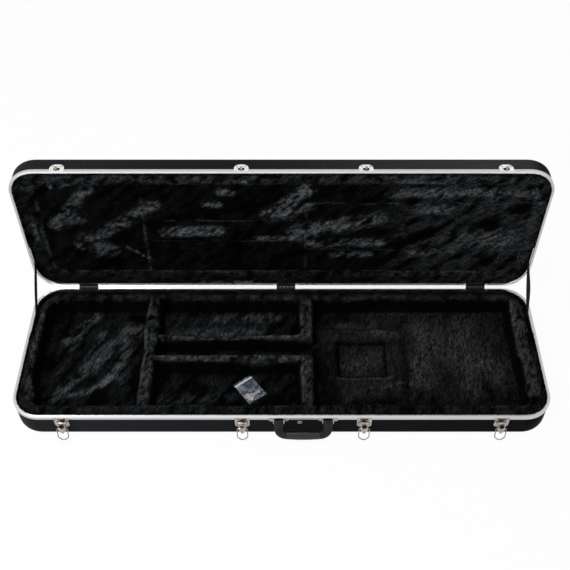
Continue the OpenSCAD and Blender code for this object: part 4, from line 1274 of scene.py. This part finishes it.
# Handle: a moulded frame with a collar at each pivot, and a fuller grip over its bar

HANDLE_LEAN = math.radians(17)
ARM_X, BAR_V, BEND_R = 55.5, 39.0, 18.0
FRAME_HALF_W, FRAME_HALF_T, FRAME_SQUARE = 9.8, 4.0, 3.4
COLLAR_HALF_T = 4.45
ARM_STEPS = (-4.4, -4.1, -3.4, -2.2, 0, 3, 6, 8, 8.8, 9.6, 10.4, 11.2, 12, 15, 19, 22)
GRIP_HALF, GRIP_RISE, GRIP_SQUARE, GRIP_SEAM = 37.75, 0.2, 2.7, 5.7
GRIP_STEPS = np.array([0, 0.3, 0.9, 1.8, 3, 4.4, 5.2, 5.7, 6.2, 7, 9, 13, 18, 24, 30])


def handle_section(u, v, radial, half_a, half_b, power):
    """Ring across the handle's frame at u, v, wide along the radial direction."""
    return np.array([
        hung("handle_pivot", HANDLE_LEAN, u + a * radial[0], v + a * radial[1], b)
        for a, b in ring(half_a, half_b, power)
    ])


def arm_sizes(v):
    """Half width and half thickness of an arm, v below its pivot."""
    collar = ease((11 - v) / 3)
    thick = FRAME_HALF_T + (COLLAR_HALF_T - FRAME_HALF_T) * collar
    if v < 0:
        thick = math.sqrt(max(COLLAR_HALF_T ** 2 - v * v, 0.6))
    return 9.4 + 1.3 * collar + 0.4 * ease((v - 14) / 8), thick


def handle_frame():
    """Two arms, two bends and the bar under the grip, in one loft."""
    half = []
    for v in ARM_STEPS:
        half.append((-ARM_X, v, (-1, 0), *arm_sizes(v)))
    for turn in range(170, 89, -10):
        c, d = math.cos(math.radians(turn)), math.sin(math.radians(turn))
        place = (-ARM_X + BEND_R + BEND_R * c, BAR_V - BEND_R + BEND_R * d)
        half.append((*place, (c, d), FRAME_HALF_W, FRAME_HALF_T))
    for u in (-35, -25, -12):
        half.append((u, BAR_V, (0, 1), FRAME_HALF_W, FRAME_HALF_T))
    whole = half + [(-u, v, (-r[0], r[1]), a, b) for u, v, r, a, b in half[::-1]]
    rings = [handle_section(*row, FRAME_SQUARE) for row in whole]
    return loft("moulded_handle_frame", rings, "handle", HANDLE)


def handle_grip():
    """Sleeve on the bar, with round ends, a seam near each and a fuller middle."""
    rings = []
    for u in np.concatenate([GRIP_STEPS - GRIP_HALF, [0], (GRIP_HALF - GRIP_STEPS)[::-1]]):
        inset = GRIP_HALF - abs(u)
        lip = math.sqrt(1 - (1 - min(inset / 3, 1)) ** 2)
        seam = 0.7 * bell(inset - GRIP_SEAM, 0.6)
        full = 0.8 * ease((inset - 5) / 24) - seam
        half_a, half_b = 8.9 + 1.2 * lip + full, 5.6 + 1.1 * lip + full
        rings.append(
            handle_section(u, BAR_V - GRIP_RISE, (0, 1), half_a, half_b, GRIP_SQUARE)
        )
    return loft("moulded_grip", rings, "handle", GRIP)


for piece, node in ((handle_frame(), "handle_frame"), (handle_grip(), "handle_grip")):
    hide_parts(node)
for number in (1, 3, 4):
    key_well(number)
for number in (1, 2, 3, 4):
    bail(number)


# Painted shade: a black strip over the rim, in the window of each catch

WINDOW_HALF, WINDOW_Y, WINDOW_SHADE_T = 6.9, (3.0, 7.4), 0.35


def catch_window_shade(number):
    """Thin dark strip with a broken edge, on the rim behind a catch's window: painted shade where
    the window lies in shadow.
    """
    low, high = box(f"catch_{number}")
    middle = (low[0] + high[0]) / 2
    half_y = (WINDOW_Y[1] - WINDOW_Y[0]) / 2
    rim_z = box("lid_valance")[1][2]
    rings = []
    for height, inset in ((0.02, 0), (0.7, 0), (0.93, 0.08), (1, 0.25)):
        outline = ring(WINDOW_HALF - inset, half_y - inset, 7, 40)
        rings.append(np.array([
            (middle + a, LID_FACE_Y + WINDOW_Y[0] + half_y + b, rim_z + height * WINDOW_SHADE_T)
            for a, b in outline
        ]))
    piece = loft(f"catch_backing_{number}", rings, "lid", WELL)


for number in (1, 2, 3, 4):
    catch_window_shade(number)


# Lid stay straps, from the base's anchors to the lid's

STRAP_W, STRAP_T = 18.0, 1.4
STRAP_LOW = np.array([109.6, 70.25])
STRAP_HIGH = np.array([199.55, 160.2])
STRAP_X = 605.7
STRAP_END = 9.0
STRAP_RINGS, STRAP_POINTS = 61, 20


def strap(name, side, slack, twist):
    """Woven strap with round ends about its anchors, twisted a little on its way and bowed by
    its slack."""
    run = STRAP_HIGH - STRAP_LOW
    span = float(np.hypot(*run))
    along, across = run / span, np.array([-run[1], run[0]]) / span
    rows = []
    for t in np.linspace(-STRAP_END, span + STRAP_END, STRAP_RINGS):
        share = min(max(t / span, 0), 1)
        swing = math.sin(math.pi * share) ** 2
        angle = math.radians(twist) * swing
        over = max(-t, t - span, 0)
        half = STRAP_W / 2 * math.sqrt(max(1 - (over / (STRAP_END + 0.4)) ** 2, 0.01))
        middle = STRAP_LOW + along * t + across * slack * swing
        for a, b in ring(half, STRAP_T / 2, 6, STRAP_POINTS):
            reach = a * math.cos(angle) - b * math.sin(angle)
            lift = a * math.sin(angle) + b * math.cos(angle)
            y, z = middle + across * reach
            rows.append((side * (STRAP_X + lift), y, z))
    rings = np.array(rows).reshape(STRAP_RINGS, STRAP_POINTS, 3)
    piece = loft("woven_" + name, list(rings), None, WEBBING)
    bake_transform(piece)
    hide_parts(name)


strap("strap_left", -1, 1.5, 4)
strap("strap_right", 1, 5.0, 16)


# Key bag: a small film bag with a press strip, and two keys in it

BAG_Z = FLOOR_Z + 3.4
BAG_CELLS = (27, 37)
STRIP_L = 4.6
STRIP_B = BAG_L / 2 - 10
KEY_BOW, KEY_T = 6.2, 1.8
KEY_TEETH = (1.0, 0.2, 1.4, 0.5, 0.0, 1.1, 0.3, 1.5, 0.6)
KEY_HOLE_R, KEY_HOLE_X = 2.1, -2.4


def on_bag(a, b, z):
    """Point in the frame: a across the bag, b along it and z over its lower film."""
    return (*(BAG_PLACE + turned(a, b, BAG_TURN)), BAG_Z + z)


def bag_height(a, b):
    """Height of the bag's upper film over its lower one."""
    rim = max(1 - (2 * a / BAG_W) ** 4, 0) * max(1 - (2 * b / BAG_L) ** 6, 0)
    keys = bell(a, 15) * bell(b + 16, 17)
    crease = abs(math.sin(0.33 * b + 0.16 * a + 1.2)) * bell(b + 1, 9)
    return 0.25 + rim * (0.9 + 2.6 * keys + 1.3 * crease)


def film_bag():
    """Upper and lower film, joined round their rim."""
    across, along = (
        size * (np.arange(count) / (count - 1) - 0.5)
        for size, count in zip((BAG_W, BAG_L), BAG_CELLS)
    )
    flat = [(a, b) for a in across for b in along]
    upper = [on_bag(a, b, bag_height(a, b)) for a, b in flat]
    lower = [on_bag(a, b, 0) for a, b in flat]
    return double_sheet("film_bag", upper, lower, grid_cells(*BAG_CELLS), "base", FILM)


def press_strip():
    """Two ribs and a welded band across the bag's mouth."""
    rows = []
    for a in np.linspace(-BAG_W / 2 + 0.4, BAG_W / 2 - 0.4, 25):
        profile = []
        for b in np.linspace(0, STRIP_L, 24):
            rib = bell(b - 1.3, 0.6) + bell(b - 3.3, 0.6)
            top = bag_height(a, STRIP_B + b) + 0.1 + 0.8 * rib
            profile.append(on_bag(a, STRIP_B + b, top))
        for b in (STRIP_L, 0):
            profile.append(on_bag(a, STRIP_B + b, 0.12))
        rows.append(np.array(profile))
    return loft("press_strip", rows, "base", ZIP)


def key_outline():
    """Round bow, neck and blade with cut teeth."""
    bow = [
        (KEY_BOW * math.cos(t), KEY_BOW * math.sin(t))
        for t in np.linspace(math.radians(24), math.radians(336), 30)
    ]
    blade = [(3 + 2.4 * i, -2.6 + cut) for i, cut in enumerate(KEY_TEETH)]
    tip = [(25, -0.6), (25.5, 0.6), (23.5, 2.5)]
    return bow + [(KEY_BOW + a, b) for a, b in [(1.5, -2.7), *blade, *tip, (1.5, 2.7)]]


def cut_key(name, place, turn, lift):
    """Flat key with a hole in its bow and broken edges."""
    mesh = bpy.data.meshes.new(name)
    bm = bmesh.new()
    hole = ring(KEY_HOLE_R, KEY_HOLE_R, 2, 16) + (KEY_HOLE_X, 0)
    loops = [[bm.verts.new((x, y, 0)) for x, y in points] for points in (key_outline(), hole)]
    edges = [bm.edges.new(pair) for loop in loops for pair in zip(loop, loop[1:] + loop[:1])]
    bmesh.ops.triangle_fill(bm, edges=edges, use_beauty=True)
    grown = bmesh.ops.extrude_face_region(bm, geom=list(bm.faces))["geom"]
    for v in (g for g in grown if isinstance(g, bmesh.types.BMVert)):
        v.co.z += KEY_T
    bmesh.ops.recalc_face_normals(bm, faces=bm.faces)
    for v in bm.verts:
        a, b = np.array(place) + turned(v.co.x, v.co.y, turn)
        v.co = Vector(on_bag(a, b, lift + v.co.z)) * MM
    bm.to_mesh(mesh)
    bm.free()
    mesh.materials.append(KEY_STEEL)
    piece = add(name, mesh)
    bevel = piece.modifiers.new("edge", "BEVEL")
    bevel.width, bevel.segments = 0.25 * MM, 2
    bevel.limit_method = "ANGLE"
    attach(piece, "base")
    return piece


bag = film_bag()
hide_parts("key_bag")
press_strip()
keys = [
    cut_key("cut_key_1", (-15, -13), math.radians(-14), 0.4),
    cut_key("cut_key_2", (-13, -23), math.radians(12), 0.5),
]
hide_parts("keys")


# Camera, floor and light

lens = bpy.data.cameras.new("camera")
lens.sensor_width, lens.lens = 36.0, 57.30
lens.clip_end = 50.0
camera = add("camera", lens)
camera.location = (0.00766, -1.3030, 1.8096)
camera.rotation_euler = (math.radians(40.932), 0, 0)
bpy.context.scene.camera = camera


def seen_white(s):
    """1 for rays from the camera, and for glossy and transmitted ones."""
    camera_ray, glossy_ray, clear_ray = (s.node("LightPath", out=k) for k in (0, 3, 6))
    return camera_ray.most(glossy_ray).most(clear_ray)


def floor_paint():
    """Pale floor: white to the camera and in reflections, with the object's shadow kept."""
    made = bpy.data.materials.new("pale_floor")
    made.use_nodes = True
    tree = made.node_tree
    tree.nodes.clear()
    s = Sig(tree)
    paper = s.node("BsdfDiffuse", None, {"Color": (0.86, 0.86, 0.865, 1)})
    white = s.node("Emission", None, {"Color": (1, 1, 1, 1), "Strength": 1.0})
    mixed = s.node("MixShader", None, {0: seen_white(s) * 0.96, 1: paper, 2: white})
    s.node("OutputMaterial", None, {"Surface": mixed})
    return made


FLOOR_HALF = 9000.0
floor = make(
    "floor", [(a * FLOOR_HALF, b * FLOOR_HALF, 0) for a, b in ((-1, -1), (1, -1), (1, 1), (-1, 1))],
    [(0, 1, 2, 3)], None, floor_paint(), False,
)

world = bpy.data.worlds.new("studio")
bpy.context.scene.world = world
world.use_nodes = True
world.node_tree.nodes.clear()
w = Sig(world.node_tree)
soft = w.node("Background", None, {"Color": (1, 1, 1, 1), "Strength": 0.45})
white = w.node("Background", None, {"Color": (1, 1, 1, 1), "Strength": 1.0})
w.node(
    "OutputWorld", None,
    {"Surface": w.node("MixShader", None, {0: seen_white(w), 1: soft, 2: white})},
)


def softbox(name, place, aim, size, power):
    """Rectangular lamp at a place, turned to its aim."""
    lamp = bpy.data.lights.new(name, "AREA")
    lamp.shape, lamp.size, lamp.size_y = "RECTANGLE", *size
    lamp.energy = power
    made = add(name, lamp)
    made.location = place
    made.rotation_euler = (Vector(aim) - Vector(place)).to_track_quat("-Z", "Y").to_euler()


softbox("key", (-1.2, -0.6, 2.6), (0, 0.05, 0.05), (1.8, 1.4), 42)
softbox("fill", (-1.9, -1.7, 1.5), (-0.2, -0.1, 0.1), (1.6, 1.2), 18)

bpy.context.scene.view_settings.view_transform = "Standard"
